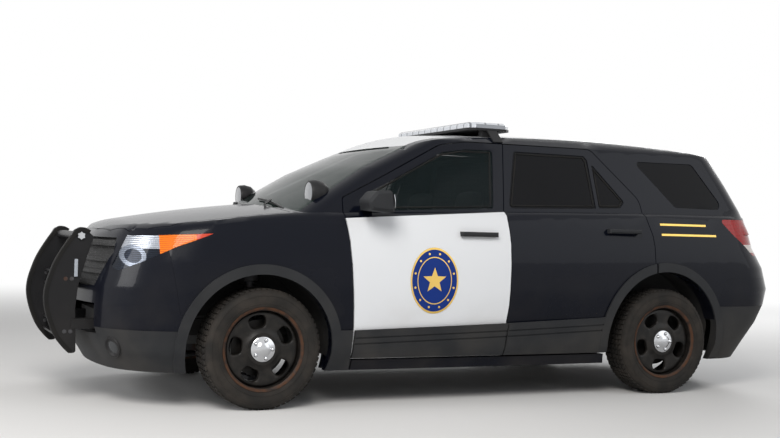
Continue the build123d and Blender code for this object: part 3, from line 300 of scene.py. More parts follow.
def wheel_paint(name):
    """Black steel wheel, worn to rust at the rim's lip and dusty all over."""
    finish = Finish(name)
    radius = (finish.x.size() - AXLES["front"]).length_with(finish.z - TYRE_RADIUS)
    patches = finish.noise(22.0, 6.0)
    lip = (radius.step(*RUSTY_LIP) * patches.step(0.25, 0.62)).clamped()
    dusty = (patches.step(0.35, 0.85) * 0.35).clamped()
    black = finish.mix(dusty, WHEEL_BLACK, DUST_ON_BLACK)
    finish.set(Base_Color=finish.mix(lip, black, RUST), IOR=WHEEL_IOR,
               Roughness=(dusty * 0.5 + lip * 0.35 + 0.36).clamped())
    finish.bump(patches, 0.0006, 0.3)
    return finish


def fabric(name, colour):
    finish = Finish(name)
    patches = finish.noise(7.0, 5.0)
    finish.set(Base_Color=finish.mix(patches, colour, tuple(c * 1.7 for c in colour)),
               Roughness=(patches * 0.1 + 0.82).clamped(), Sheen_Weight=0.3)
    finish.bump(finish.bands(420.0, "DIAGONAL", 1.0), 0.0006, 0.5)
    return finish


AMBER_FRONT = 2.035
RED_FRONT = 1.84
BOWL_TOP = 0.93
PROJECTOR = (2.165, 0.885)
PROJECTOR_RING = 0.062
PROJECTOR_LENS = 0.04


def headlamp_finish(name):
    """Clear lamp over bright ribs, an amber corner, a dark bowl and a low round projector."""
    finish = Finish(name)
    ribs = finish.bands(28.0)
    amber = finish.x < AMBER_FRONT
    middle = (finish.x - PROJECTOR[0]).length_with(finish.z - PROJECTOR[1])
    base = finish.mix(ribs, (0.5, 0.53, 0.58), (0.16, 0.17, 0.2))
    for mask, colour in (
        (finish.z < BOWL_TOP, (0.008, 0.011, 0.018)),
        (amber, finish.mix(ribs, (0.9, 0.22, 0.01), (0.55, 0.09, 0.005))),
        (finish.x < RED_FRONT, (0.55, 0.05, 0.02)),
        (middle < PROJECTOR_RING, (0.16, 0.18, 0.22)),
        (middle < PROJECTOR_LENS, (0.012, 0.016, 0.026)),
    ):
        base = finish.mix(mask, base, colour)
    finish.set(Base_Color=base, Metallic=(1.0 - amber) * 0.7, Roughness=0.22 + ribs * 0.12, IOR=PLASTIC_IOR,
               Coat_Weight=0.25, Coat_Roughness=LAMP_COAT_ROUGHNESS)
    finish.bump(ribs, 0.002, 0.35)
    return finish


PALE_HEIGHT = 1.0
PALE_HALF = 0.028
PALE_FRONT = -2.1


def tail_lamp_finish(name):
    """Red lamp with a pale section low down and fine ribs."""
    finish = Finish(name)
    ribs = finish.bands(32.0)
    pale = (finish.z - PALE_HEIGHT).size() < PALE_HALF
    base = finish.mix(ribs, (0.42, 0.008, 0.008), (0.2, 0.003, 0.003))
    base = finish.mix(pale * (finish.x < PALE_FRONT), base, (0.72, 0.66, 0.62))
    finish.set(Base_Color=base, Roughness=0.15 + ribs * 0.1, IOR=PLASTIC_IOR,
               Coat_Weight=0.3, Coat_Roughness=LAMP_COAT_ROUGHNESS)
    finish.bump(ribs, 0.0015, 0.3)
    return finish


def light_bar_finish(name):
    """Clear cover over rows of square lamp modules."""
    finish = Finish(name)
    turned = finish.node("ShaderNodeMapping", {}, finish.place, (0, 0, 0), (0, 0, math.pi / 2))
    modules = finish.node("ShaderNodeTexBrick", {"offset": 0.0}, turned, output=1, Scale=1.0,
                          Mortar_Size=0.006, Brick_Width=0.1, Row_Height=0.1)
    finish.set(Base_Color=finish.mix(modules, (0.62, 0.65, 0.7), (0.16, 0.17, 0.19)),
               Roughness=0.12 + finish.noise(30.0) * 0.08, Metallic=0.3, Coat_Weight=1.0)
    finish.bump(modules, 0.002, 0.3)
    return finish


def lamp_glass(name, colour):
    """Clear cover with fine level flutes."""
    finish = Finish(name)
    flutes = finish.bands(60.0)
    finish.set(Base_Color=finish.mix(flutes, colour, tuple(c * 0.7 for c in colour)),
               Roughness=0.15 + flutes * 0.1)
    finish.bump(flutes, 0.0008, 0.3)
    return finish


def grille_finish(name):
    """Black mesh whose holes are painted near-black: painted shade where the openings would show the dark
    behind them.
    """
    finish = Finish(name)
    # The cells inside a thin web are painted near-black as painted shade, standing in for openings that are
    # not modelled
    painted_shade_holes = finish.cells(85.0).step(0.03, 0.09)
    finish.set(Base_Color=finish.mix(painted_shade_holes, (0.02, 0.02, 0.022), (0.002, 0.002, 0.002)),
               Roughness=0.35 + painted_shade_holes * 0.3)
    finish.bump(1 - painted_shade_holes, 0.003, 0.6)
    return finish


def make_finishes(settings):
    paint, white, plastic = tuple(settings.paint), tuple(settings.white), tuple(settings.plastic)
    dirt = settings.dirt
    made = {
        "paint": gloss_paint("body_paint", paint, dirt),
        "white": gloss_paint("white_paint", white, dirt * 0.3),
        "door": door_paint("front_door_paint", white, paint, settings.belt, dirt),
        "cladding": grained_plastic("cladding_plastic", plastic, 0.52, dirt),
        "black": grained_plastic("black_plastic", (0.012, 0.012, 0.013), 0.4, 0.1),
        "trim": grained_plastic("cabin_plastic", (0.035, 0.035, 0.04), 0.6, 0.0),
        "powder": grained_plastic("powder_coat", (0.009, 0.009, 0.01), 0.33, 0.12, 2600.0),
        "rubber": rubber("edge_rubber", (0.01, 0.01, 0.01), 0.15),
        "tyre": rubber("tyre_rubber", (0.018, 0.017, 0.016), 0.75),
        "wheel": wheel_paint("wheel_paint"),
        "chrome": metal("chrome", (0.6, 0.61, 0.63), 0.1, 0.05),
        "steel": metal("dark_steel", (0.09, 0.09, 0.095), 0.45, 0.2, (0.08, 0.04, 0.025)),
        "exhaust": metal("exhaust_steel", (0.3, 0.27, 0.24), 0.5, 0.2, (0.16, 0.08, 0.04)),
        "cast": metal("cast_metal", (0.2, 0.2, 0.2), 0.6, 0.2),
        "under": grained_plastic("underbody_paint", (0.02, 0.02, 0.021), 0.7, 0.6, 500.0),
        "clear_glass": tinted_glass("clear_glass", (0.006, 0.011, 0.012), 0.55),
        "screen_glass": tinted_glass("windshield_glass", (0.008, 0.02, 0.017), 0.72),
        "dark_glass": tinted_glass("dark_glass", (0.002, 0.002, 0.003), 0.97),
        "seat": fabric("seat_fabric", (0.028, 0.028, 0.032)),
        "headlamp": headlamp_finish("headlamp"),
        "tail_lamp": tail_lamp_finish("tail_lamp"),
        "light_bar": light_bar_finish("light_bar_cover"),
        "strip_lamp": lamp_glass("strip_lamp", (0.42, 0.46, 0.52)),
        "fog_glass": lamp_glass("fog_lamp_glass", (0.035, 0.038, 0.042)),
        "grille": grille_finish("grille_mesh"),
        "gold": metal("emblem_gold", (0.85, 0.58, 0.16), 0.3, 0.1),
        "blue": gloss_paint("emblem_blue", (0.006, 0.03, 0.2), 0.0),
    }
    return {key: finish.material for key, finish in made.items()}


NODES_WITH_FINISH = {
    "paint": ("body_sides", "fenders", "front_bumper", "rear_bumper", "hood", "liftgate", "door_rear"),
    "white": ("roof_panel",),
    "door": ("door_front",),
    "cladding": ("front_valance", "rear_valance", "arch_flares", "trim_front", "trim_rear"),
    "black": ("cowl", "light_bar_base", "spotlights"),
    "trim": ("dashboard",),
    "powder": ("push_bumper",),
    "under": ("floor_pan", "wheelhouses", "fuel_tank"),
    "steel": ("front_suspension", "rear_suspension", "knuckle", "partition"),
    "exhaust": ("exhaust",),
    "cast": ("engine_block",),
    "seat": ("front_seats", "rear_bench"),
    "tyre": ("tyre_front", "tyre_rear"),
    "wheel": ("rim_front", "rim_rear"),
    "clear_glass": ("glass_front",),
    "screen_glass": ("windshield",),
    "dark_glass": ("glass_rear", "quarter_glass", "liftgate_glass"),
    "headlamp": ("headlamps",),
    "tail_lamp": ("tail_lamps",),
    "light_bar": ("light_bar_lens",),
    "grille": ("grille",),
}
NODE_FINISH = {node: finish for finish, nodes in NODES_WITH_FINISH.items() for node in nodes}


# Mesh makers

WELD_DISTANCE = 2e-5


def mesh_of(bm, name):
    """Mesh of a bmesh, which is freed."""
    mesh = bpy.data.meshes.new(name)
    bm.to_mesh(mesh)
    bm.free()
    return mesh


def link_mesh(name, bm, material, body):
    """A finished piece from a bmesh, riding on a body."""
    bmesh.ops.remove_doubles(bm, verts=bm.verts, dist=1e-6)
    bmesh.ops.recalc_face_normals(bm, faces=bm.faces)
    mesh = mesh_of(bm, name)
    mesh.materials.append(material)
    made = bpy.data.objects.new(name, mesh)
    bpy.context.scene.collection.objects.link(made)
    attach(made, body)
    return made


def tree_with(name, number, kind):
    """Node tree that takes a geometry and one named number, and gives a geometry."""
    tree = bpy.data.node_groups.new(name, "GeometryNodeTree")
    tree.interface.new_socket("Geometry", in_out="INPUT", socket_type="NodeSocketGeometry")
    tree.interface.new_socket(number, in_out="INPUT", socket_type=kind)
    tree.interface.new_socket("Geometry", in_out="OUTPUT", socket_type="NodeSocketGeometry")
    return tree


def run_tree(made, tree, number, value):
    """Modifier that runs a tree on an object, with the tree's number set."""
    modifier = made.modifiers.new(tree.name, "NODES")
    modifier.node_group = tree
    socket = next(item for item in tree.interface.items_tree if item.name == number)
    modifier[socket.identifier] = value


def smooth_by_angle(made, degrees):
    """Rounds the shading over gentle edges, with the doubles welded on the way."""
    tree = bpy.data.node_groups.get("smooth_by_angle") or smoothing_tree()
    run_tree(made, tree, "Angle", math.radians(degrees))
    return made


def smoothing_tree():
    tree = tree_with("smooth_by_angle", "Angle", "NodeSocketFloat")
    nodes, links = tree.nodes, tree.links
    start, end = nodes.new("NodeGroupInput"), nodes.new("NodeGroupOutput")
    weld = nodes.new("GeometryNodeMergeByDistance")
    weld.inputs["Distance"].default_value = WELD_DISTANCE
    faces = nodes.new("GeometryNodeSetShadeSmooth")
    edges = nodes.new("GeometryNodeSetShadeSmooth")
    edges.domain = "EDGE"
    edges.inputs["Shade Smooth"].default_value = False
    angle = nodes.new("GeometryNodeInputMeshEdgeAngle")
    sharp = nodes.new("ShaderNodeMath")
    sharp.operation = "GREATER_THAN"
    links.new(start.outputs["Geometry"], weld.inputs["Geometry"])
    links.new(weld.outputs["Geometry"], faces.inputs["Geometry"])
    links.new(faces.outputs["Geometry"], edges.inputs["Geometry"])
    links.new(angle.outputs["Unsigned Angle"], sharp.inputs[0])
    links.new(start.outputs["Angle"], sharp.inputs[1])
    links.new(sharp.outputs[0], edges.inputs["Selection"])
    links.new(edges.outputs["Geometry"], end.inputs["Geometry"])
    return tree


def add_box(bm, centre, size, turn=None, bevel=0.0):
    made = bmesh.ops.create_cube(bm, size=1.0)
    matrix = Matrix.Translation(centre) @ (turn or Matrix()) @ Matrix.Diagonal((*size, 1.0))
    bmesh.ops.transform(bm, matrix=matrix, verts=made["verts"])
    if bevel:
        edges = {edge for vertex in made["verts"] for edge in vertex.link_edges}
        bmesh.ops.bevel(bm, geom=list(edges), offset=bevel, segments=2, profile=0.7, affect="EDGES")


def join_rings(bm, rings, around=True, capped=False):
    """Quads between rings of points, which close on themselves if around, with flat ends if capped."""
    for one, two in zip(rings, rings[1:]):
        count = len(one)
        for k in range(count if around else count - 1):
            m = (k + 1) % count
            bm.faces.new((one[k], one[m], two[m], two[k]))
    if capped:
        bm.faces.new(rings[0][::-1])
        bm.faces.new(rings[-1])


def add_lathe(bm, section, centre, axis="Y", steps=48, closed=True, sign=1):
    """Ring of faces from a section of (radius, offset) turned about an axis."""
    rings = []
    for step in range(steps):
        angle = 2 * math.pi * step / steps
        ring = []
        for radius, offset in section:
            across, up, out = radius * math.cos(angle), radius * math.sin(angle), sign * offset
            point = {"X": (out, across, up), "Y": (across, out, up), "Z": (across, up, out)}[axis]
            ring.append(bm.verts.new(Vector(centre) + Vector(point)))
        rings.append(ring)
    join_rings(bm, rings + [rings[0]], closed)


def add_tube(bm, points, radius, sides=12):
    """Closed round bar along a line of points."""
    points = [Vector(point) for point in points]
    rings = []
    # A direction that no tube here follows, from which the rings' sides are measured
    guide = Vector((0.13, 0.29, 0.95)).normalized()
    for k, point in enumerate(points):
        way = (points[min(k + 1, len(points) - 1)] - points[max(k - 1, 0)]).normalized()
        side = way.cross(guide).normalized()
        up = side.cross(way)
        rings.append([bm.verts.new(point + radius * (math.cos(a) * side + math.sin(a) * up))
                      for a in (2 * math.pi * j / sides for j in range(sides))])
    join_rings(bm, rings, capped=True)


def skin_finder(*names):
    """Function that finds where a ray first meets the named CAD nodes."""
    corners, faces = [], []
    for name in names:
        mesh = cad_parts[name].data
        start = len(corners)
        corners += [vertex.co.copy() for vertex in mesh.vertices]
        faces += [[start + index for index in polygon.vertices] for polygon in mesh.polygons]
    hull = BVHTree.FromPolygons(corners, faces)

    def meet(origin, way):
        point, normal, _, _ = hull.ray_cast(Vector(origin), Vector(way).normalized())
        if point is None:
            raise RuntimeError("no skin of %s at %s" % (names[0], tuple(origin)))
        return point, normal

    return meet


def side_point(meet, x, z, side, lift):
    """Point that lies above the body's side at (x, z)."""
    point, _ = meet((x, side * OUTSIDE, z), (0, -side, 0))
    return point + Vector((0, side * lift, 0))


def middle_of(outline):
    return Vector([sum(values) / len(outline) for values in zip(*outline)])


def decal(bm, outline, meet, side, lift, rings):
    """Thin sheet on the body's side, filled from its centre out to an outline of (x, z)."""
    centre = middle_of(outline)
    rows = []
    for ring in range(1, rings + 1):
        spots = [centre + (Vector(corner) - centre) * (ring / rings) for corner in outline]
        rows.append([bm.verts.new(side_point(meet, x, z, side, lift)) for x, z in spots])
    middle = bm.verts.new(side_point(meet, centre.x, centre.y, side, lift))
    for k in range(len(outline)):
        m = (k + 1) % len(outline)
        bm.faces.new((middle, rows[0][k], rows[0][m]))
        for one, two in zip(rows, rows[1:]):
            bm.faces.new((one[k], two[k], two[m], one[m]))


def thicken(made, depth):
    solid = made.modifiers.new("thickness", "SOLIDIFY")
    solid.thickness = depth
    solid.offset = 0.0
    return made


def oval(centre, width, height, steps=64):
    return [(centre[0] + width / 2 * math.cos(2 * math.pi * k / steps),
             centre[1] + height / 2 * math.sin(2 * math.pi * k / steps)) for k in range(steps)]


def star(centre, radius, points=5, inner=0.42):
    outline = []
    for k in range(2 * points):
        reach = radius if k % 2 == 0 else radius * inner
        angle = math.pi / 2 + math.pi * k / points
        outline.append((centre[0] + reach * math.cos(angle), centre[1] + reach * math.sin(angle)))
    return outline


def filled_in(outline, parts=4):
    """The same outline with points between its corners."""
    dense = []
    for one, two in zip(outline, outline[1:] + outline[:1]):
        for k in range(parts):
            dense.append(tuple(a + (b - a) * k / parts for a, b in zip(one, two)))
    return dense


def ring_tree(name, block, material, centre):
    """Copies of a block turned about a wheel's axle."""
    tree = tree_with(name, "Count", "NodeSocketInt")
    nodes, links = tree.nodes, tree.links
    start, end = nodes.new("NodeGroupInput"), nodes.new("NodeGroupOutput")
    points = nodes.new("GeometryNodePoints")
    index = nodes.new("GeometryNodeInputIndex")
    share = nodes.new("ShaderNodeMath")
    share.operation = "DIVIDE"
    angle = nodes.new("ShaderNodeMath")
    angle.operation = "MULTIPLY"
    angle.inputs[1].default_value = 2 * math.pi
    turn = nodes.new("ShaderNodeCombineXYZ")
    source = nodes.new("GeometryNodeObjectInfo")
    source.inputs["Object"].default_value = block
    spread = nodes.new("GeometryNodeInstanceOnPoints")
    shift = nodes.new("GeometryNodeTransform")
    shift.inputs["Translation"].default_value = centre
    realize = nodes.new("GeometryNodeRealizeInstances")
    finish = nodes.new("GeometryNodeSetMaterial")
    finish.inputs["Material"].default_value = material
    links.new(start.outputs["Count"], points.inputs["Count"])
    links.new(index.outputs[0], share.inputs[0])
    links.new(start.outputs["Count"], share.inputs[1])
    links.new(share.outputs[0], angle.inputs[0])
    links.new(angle.outputs[0], turn.inputs["Y"])
    links.new(points.outputs[0], spread.inputs["Points"])
    links.new(source.outputs["Geometry"], spread.inputs["Instance"])
    links.new(turn.outputs[0], spread.inputs["Rotation"])
    links.new(spread.outputs[0], realize.inputs[0])
    links.new(realize.outputs[0], shift.inputs["Geometry"])
    links.new(shift.outputs["Geometry"], finish.inputs["Geometry"])
    links.new(finish.outputs[0], end.inputs["Geometry"])
    return tree


def ring_of(name, block_mesh, count, material, centre):
    """Plain mesh of a block repeated round an axle."""
    block = bpy.data.objects.new(name + "_block", block_mesh)
    holder = bpy.data.objects.new(name + "_holder", bpy.data.meshes.new(name + "_holder"))
    for each in (block, holder):
        bpy.context.scene.collection.objects.link(each)
    run_tree(holder, ring_tree(name + "_ring", block, material, centre), "Count", count)
    bpy.context.view_layer.update()
    depsgraph = bpy.context.evaluated_depsgraph_get()
    mesh = bpy.data.meshes.new_from_object(holder.evaluated_get(depsgraph))
    for each in (holder, block):
        bpy.data.objects.remove(each)
    return mesh


# Names of the materials, which the first operator fills in
FINISH_NAMES = {}


def finishes():
    return {key: bpy.data.materials[name] for key, name in FINISH_NAMES.items()}


class VEHICLE_OT_finishes(bpy.types.Operator):
    """Give every CAD node its finish and smooth shading"""

    bl_idname = "vehicle.finishes"
    bl_label = "Finishes"

    def execute(self, context):
        made = make_finishes(settings_of(context))
        FINISH_NAMES.update({key: material.name for key, material in made.items()})
        for name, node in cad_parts.items():
            kind = name.replace("_left", "").replace("_right", "")
            node.data.materials.clear()
            node.data.materials.append(made[NODE_FINISH[kind]])
            smooth_by_angle(node, 32.0)
        return {"FINISHED"}


# Wheels

TYRE_PROFILE = (
    (0.2365, 0.097), (0.243, 0.1035), (0.252, 0.1085), (0.262, 0.1145), (0.285, 0.121), (0.305, 0.1222),
    (0.322, 0.119), (0.334, 0.1125), (0.342, 0.103), (0.347, 0.09), (0.3475, 0.06), (0.3475, 0.03),
    (0.3475, 0.0),
)
SIDEWALL_RIDGES = ((0.272, 0.004, 0.1185), (0.3155, 0.0035, 0.1215))
RIDGE_ROOT = 0.003
RIDGE_RISE = 0.001
TREAD_RIBS = ((0.0, 0.026), (0.036, 0.026), (0.074, 0.03))
TREAD_DEPTH = 0.0104
TREAD_SLANT = math.radians(14)
TREAD_STAGGER = 0.004
BLOCK_SHARE = 0.76
BLOCK_BEVEL = 0.0012


def wheels():
    """Axle's end, side, outward sign and centre of each wheel."""
    for end, axle in AXLES.items():
        for side, sign in SIDES.items():
            yield end, side, sign, Vector((axle, sign * TRACK / 2, TYRE_RADIUS))


def tread_blocks(name, pitch):
    """One pitch of tread blocks on top of a tyre about the origin."""
    bm = bmesh.new()
    for offset, width in TREAD_RIBS:
        for hand in ((1, -1) if offset else (1,)):
            ahead = TREAD_STAGGER * hand if offset else 0.0
            slant = Matrix.Rotation(hand * TREAD_SLANT, 4, "Z")
            add_box(bm, (ahead, hand * offset, TYRE_RADIUS - TREAD_DEPTH / 2),
                    (pitch * BLOCK_SHARE, width, TREAD_DEPTH), slant, BLOCK_BEVEL)
    return mesh_of(bm, name + "_block")


class VEHICLE_OT_tyres(bpy.types.Operator):
    """Round-shouldered tyres with a block tread"""

    bl_idname = "vehicle.tyres"
    bl_label = "Tyres"

    def execute(self, context):
        finish = finishes()["tyre"]
        count = settings_of(context).pitches
        section = list(TYRE_PROFILE) + [(radius, -offset) for radius, offset in TYRE_PROFILE[-2::-1]]
        for end, side, _, centre in wheels():
            name = "tyre_%s_%s" % (end, side)
            bm = bmesh.new()
            add_lathe(bm, section, centre, steps=96)
            for radius, half, offset in SIDEWALL_RIDGES:
                root, crest = offset - RIDGE_ROOT, offset + RIDGE_RISE
                ridge = ((radius - half, root), (radius - half / 2, crest),
                         (radius + half / 2, crest), (radius + half, root))
                for hand in (1, -1):
                    add_lathe(bm, ridge, centre, steps=96, sign=hand)
            blocks = tread_blocks(name, 2 * math.pi * TYRE_RADIUS / count)
            bm.from_mesh(ring_of(name, blocks, count, finish, centre))
            made = link_mesh(name + "_detailed", bm, finish, "wheel_%s_%s" % (end, side))
            smooth_by_angle(made, 40.0)
            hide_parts(name)
        return {"FINISHED"}


RIM_SECTION = (
    (0.2356, 0.0986), (0.2395, 0.1015), (0.247, 0.1043), (0.2478, 0.107), (0.247, 0.1095), (0.2435, 0.1092),
    (0.236, 0.1045), (0.2285, 0.0985), (0.2268, 0.09), (0.2268, 0.03), (0.219, 0.01), (0.219, -0.06),
    (0.2268, -0.085), (0.2268, -0.1095), (0.247, -0.1095), (0.247, -0.1043), (0.2356, -0.0986),
)
HUB_SECTION = (
    (0.0005, -0.04), (0.06, -0.04), (0.06, -0.034), (0.165, -0.034), (0.165, -0.008), (0.06, -0.008),
    (0.06, 0.062), (0.0005, 0.062),
)
DISC_SHAPE = ((0.092, 0.084), (0.102, 0.0785), (0.114, 0.0715), (0.13, 0.07), (0.2, 0.07), (0.212, 0.0675))
DISC_FLANGE = ((0.2115, 0.0678), (0.218, 0.0635), (0.2235, 0.055), (0.2262, 0.046), (0.2262, 0.034))
DISC_CENTRE = ((0.0005, 0.084), (0.06, 0.084), (0.0922, 0.084))
DISC_THICKNESS = 0.004
OPENINGS = 5
OPENING_CENTRE = 0.163
OPENING_HALF = (0.053, 0.04)
# How much wider an opening gets for each metre outwards, as a share
OPENING_TAPER = 4
OPENING_SQUARENESS = 0.75
OPENING_HEADING = {"front": math.radians(79.0), "rear": math.radians(58.0)}
# Share of the way from an opening's edge to its sector's edge, and how far the metal is rolled in there
OPENING_ROLL = ((-0.03, 0.016), (0.0, 0.009), (0.03, 0.003), (0.09, 0.0), (0.3, 0.0), (0.6, 0.0), (1.0, 0.0))


def disc_height(radius):
    """Offset of the wheel disc's face at a radius."""
    for (near, low), (far, high) in zip(DISC_SHAPE, DISC_SHAPE[1:]):
        if radius <= far:
            return low + (high - low) * max(0.0, radius - near) / (far - near)
    return DISC_SHAPE[-1][1]


def squarer(value):
    """A sine or cosine that turns a circle into a rounded square."""
    return math.copysign(abs(value) ** OPENING_SQUARENESS, value)


def wheel_disc(bm, centre, sign, first, count=48):
    """Pressed disc: sectors, each a frame of quads round a rounded opening with a rolled edge."""
    middle = (DISC_SHAPE[0][0] + DISC_SHAPE[-1][0]) / 2
    reach = (DISC_SHAPE[-1][0] - DISC_SHAPE[0][0]) / 2
    for sector in range(OPENINGS):
        heading = first + 2 * math.pi * sector / OPENINGS
        rings = []
        for share, sink in OPENING_ROLL:
            ring = []
            for k in range(count):
                angle = 2 * math.pi * k / count
                cosine, sine = math.cos(angle), math.sin(angle)
                along = OPENING_HALF[1] * squarer(sine)
                across = OPENING_HALF[0] * (1 + OPENING_TAPER * along) * squarer(cosine)
                widest = max(abs(cosine), abs(sine))
                inner = Vector((across / (OPENING_CENTRE + along), OPENING_CENTRE + along))
                outer = Vector((math.pi / OPENINGS * cosine / widest, middle + reach * sine / widest))
                turn, radius = inner.lerp(outer, share)
                y = disc_height(radius) - sink
                ring.append(bm.verts.new(centre + Vector((
                    radius * math.cos(heading + turn), sign * y, radius * math.sin(heading + turn)))))
            rings.append(ring)
        join_rings(bm, rings)
    for section in (DISC_FLANGE, DISC_CENTRE):
        add_lathe(bm, section, centre, steps=60, closed=False, sign=sign)


class VEHICLE_OT_wheels(bpy.types.Operator):
    """Pressed steel wheels with five large openings, hub and brake disc"""

    bl_idname = "vehicle.wheels"
    bl_label = "Wheels"

    def execute(self, context):
        paint = finishes()["wheel"]
        for end, side, sign, centre in wheels():
            wheel = "%s_%s" % (end, side)
            bm = bmesh.new()
            for section in (RIM_SECTION, HUB_SECTION):
                add_lathe(bm, section, centre, steps=72, sign=sign)
            made = link_mesh("rim_%s_detailed" % wheel, bm, paint, "wheel_" + wheel)
            smooth_by_angle(made, 35.0)
            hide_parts("rim_" + wheel)
            bm = bmesh.new()
            wheel_disc(bm, centre, sign, OPENING_HEADING[end])
            made = link_mesh("wheel_disc_" + wheel, bm, paint, "wheel_" + wheel)
            smooth_by_angle(thicken(made, DISC_THICKNESS), 45.0)
        return {"FINISHED"}


CAP_SECTION = (
    (0.0005, 0.1125), (0.02, 0.1115), (0.034, 0.108), (0.044, 0.1), (0.05, 0.097), (0.068, 0.0955),
    (0.0735, 0.092), (0.0745, 0.0862), (0.0005, 0.0862),
)
NUT_SECTION = ((0.0003, 0.1085), (0.007, 0.107), (0.0105, 0.1025), (0.0115, 0.094), (0.0003, 0.094))
NUTS = 5
NUT_CIRCLE = 0.056


class VEHICLE_OT_hub_caps(bpy.types.Operator):
    """Bright hub caps with five nut covers"""

    bl_idname = "vehicle.hub_caps"
    bl_label = "Hub caps"

    def execute(self, context):
        chrome = finishes()["chrome"]
        for end, side, sign, centre in wheels():
            wheel = "%s_%s" % (end, side)
            bm = bmesh.new()
            add_lathe(bm, CAP_SECTION, centre, steps=56, sign=sign)
            for k in range(NUTS):
                angle = 2 * math.pi * (k + 0.5) / NUTS
                nut = centre + Vector((NUT_CIRCLE * math.cos(angle), 0, NUT_CIRCLE * math.sin(angle)))
                add_lathe(bm, NUT_SECTION, nut, steps=16, sign=sign)
            made = link_mesh("hub_cap_" + wheel, bm, chrome, "wheel_" + wheel)
            smooth_by_angle(made, 40.0)
        return {"FINISHED"}


# Markings

EMBLEM_PLACE = (0.354, 0.765)
# Shares of the emblem's height; across, the bands and the circle of dots are shares of its width
EMBLEM_WIDTH = 0.8
EMBLEM_STAR = 0.2
EMBLEM_BANDS = ((1.0, 0.94), (0.72, 0.69))
DOT_CIRCLE = 0.415

DOTS = 12
DOT_SIZE = 0.014
FIELD_LIFT = 0.0012
GOLD_LIFT = 0.0022
STRIPE_LIFT = 0.001
STRIPE_HALF = 0.007
QUARTER_STRIPES = ((-1.82, -1.41, 1.155), (-1.9, -1.41, 1.085))
FILM = 0.0006


class VEHICLE_OT_markings(bpy.types.Operator):
    """Plain oval emblem with a star on the front doors, and two gold stripes behind"""

    bl_idname = "vehicle.markings"
    bl_label = "Markings"

    def execute(self, context):
        used = finishes()
        height = settings_of(context).emblem
        width = height * EMBLEM_WIDTH
        quarter = skin_finder("body_sides")
        for side, sign in SIDES.items():
            body = "door_front_" + side
            door = skin_finder(body)
            bm = bmesh.new()
            decal(bm, oval(EMBLEM_PLACE, width, height), door, sign, FIELD_LIFT, 14)
            thicken(link_mesh("emblem_field_" + side, bm, used["blue"], body), FILM)
            bm = bmesh.new()
            decal(bm, filled_in(star(EMBLEM_PLACE, height * EMBLEM_STAR)), door, sign, GOLD_LIFT, 6)
            thicken(link_mesh("emblem_star_" + side, bm, used["gold"], body), FILM)
            bm = bmesh.new()
            for band in EMBLEM_BANDS:
                edges = [oval(EMBLEM_PLACE, width * share, height * share) for share in band]
                join_rings(bm, [[bm.verts.new(side_point(door, x, z, sign, GOLD_LIFT)) for x, z in edge]
                                for edge in edges])
            for k in range(DOTS):
                angle = 2 * math.pi * (k + 0.5) / DOTS
                spot = (EMBLEM_PLACE[0] + width * DOT_CIRCLE * math.cos(angle),
                        EMBLEM_PLACE[1] + height * DOT_CIRCLE * math.sin(angle))
                decal(bm, oval(spot, DOT_SIZE, DOT_SIZE, 12), door, sign, GOLD_LIFT, 2)
            thicken(link_mesh("emblem_rings_" + side, bm, used["gold"], body), FILM)
            bm = bmesh.new()
            for back, front, z in QUARTER_STRIPES:
                low, high = z - STRIPE_HALF, z + STRIPE_HALF
                outline = filled_in([(back, low), (front, low), (front, high), (back, high)], 8)
                decal(bm, outline, quarter, sign, STRIPE_LIFT, 4)
            thicken(link_mesh("quarter_stripes_" + side, bm, used["gold"], "body"), FILM)
        return {"FINISHED"}


# Equipment

UPRIGHT_LEAD = (
    (2.350, 1.020), (2.385, 1.036), (2.425, 1.030), (2.470, 0.975), (2.545, 0.850), (2.588, 0.735),
    (2.604, 0.657), (2.602, 0.585), (2.580, 0.495), (2.540, 0.400), (2.492, 0.335), (2.455, 0.298),
)
UPRIGHT_COVER = (
    (2.342, 0.982, 0.012), (2.388, 1.026, 0.018), (2.434, 1.020, 0.026), (2.535, 0.846, 0.15),
    (2.596, 0.656, 0.06), (2.591, 0.563, 0.06), (2.532, 0.405, 0.15), (2.453, 0.305, 0.018),
    (2.426, 0.308, 0.012), (2.431, 0.470, 0.06), (2.436, 0.560, 0.06), (2.423, 0.696, 0.06),
    (2.379, 0.862, 0.12),
)
PUSH_Y = 0.4
PLATE_BACK = 0.0195
PLATE_FACE = 0.0216
EDGING = ((-0.026, -0.022), (-0.026, 0.0), (-0.018, 0.003), (0.018, 0.003), (0.026, 0.0), (0.026, -0.022))
SIDE_BOLTS = ((2.452, 0.735), (2.487, 0.735), (2.452, 0.425), (2.487, 0.425))
CHANNEL_FACE = 2.4525
CHANNEL_BOLT_Y = 0.33
CHANNEL_BOLTS = (0.7, 0.735, 0.405, 0.435)
TUBE_END = (2.405, 0.99)
# Reach of the star-shaped bolt at a tube's end, and where it starts and ends across
TUBE_END_STEPS = ((0.024, 0.42, 0.4345), (0.017, 0.4345, 0.4385))
SIDE_LAMP = (2.43, PUSH_Y + 0.026, 0.8)
SIDE_LAMP_SIZE = (0.02, 0.012, 0.105)


def rounded(corners, steps=5):
    """Closed outline of (x, z) with each (x, z, radius) corner turned into an arc."""
    outline = []
    count = len(corners)
    for k, (x, z, radius) in enumerate(corners):
        point = Vector((x, z))
        before = (Vector(corners[k - 1][:2]) - point).normalized()
        after = (Vector(corners[(k + 1) % count][:2]) - point).normalized()
        half = before.angle(after) / 2
        middle = point + (before + after).normalized() * radius / math.sin(half)
        start = point + before * radius / math.tan(half)
        turn = before.angle(after) - math.pi
        hand = math.copysign(1.0, before.x * after.y - before.y * after.x)
        for step in range(steps + 1):
            angle = hand * turn * step / steps
            arm = start - middle
            outline.append((middle.x + arm.x * math.cos(angle) - arm.y * math.sin(angle),
                            middle.y + arm.x * math.sin(angle) + arm.y * math.cos(angle)))
    return outline


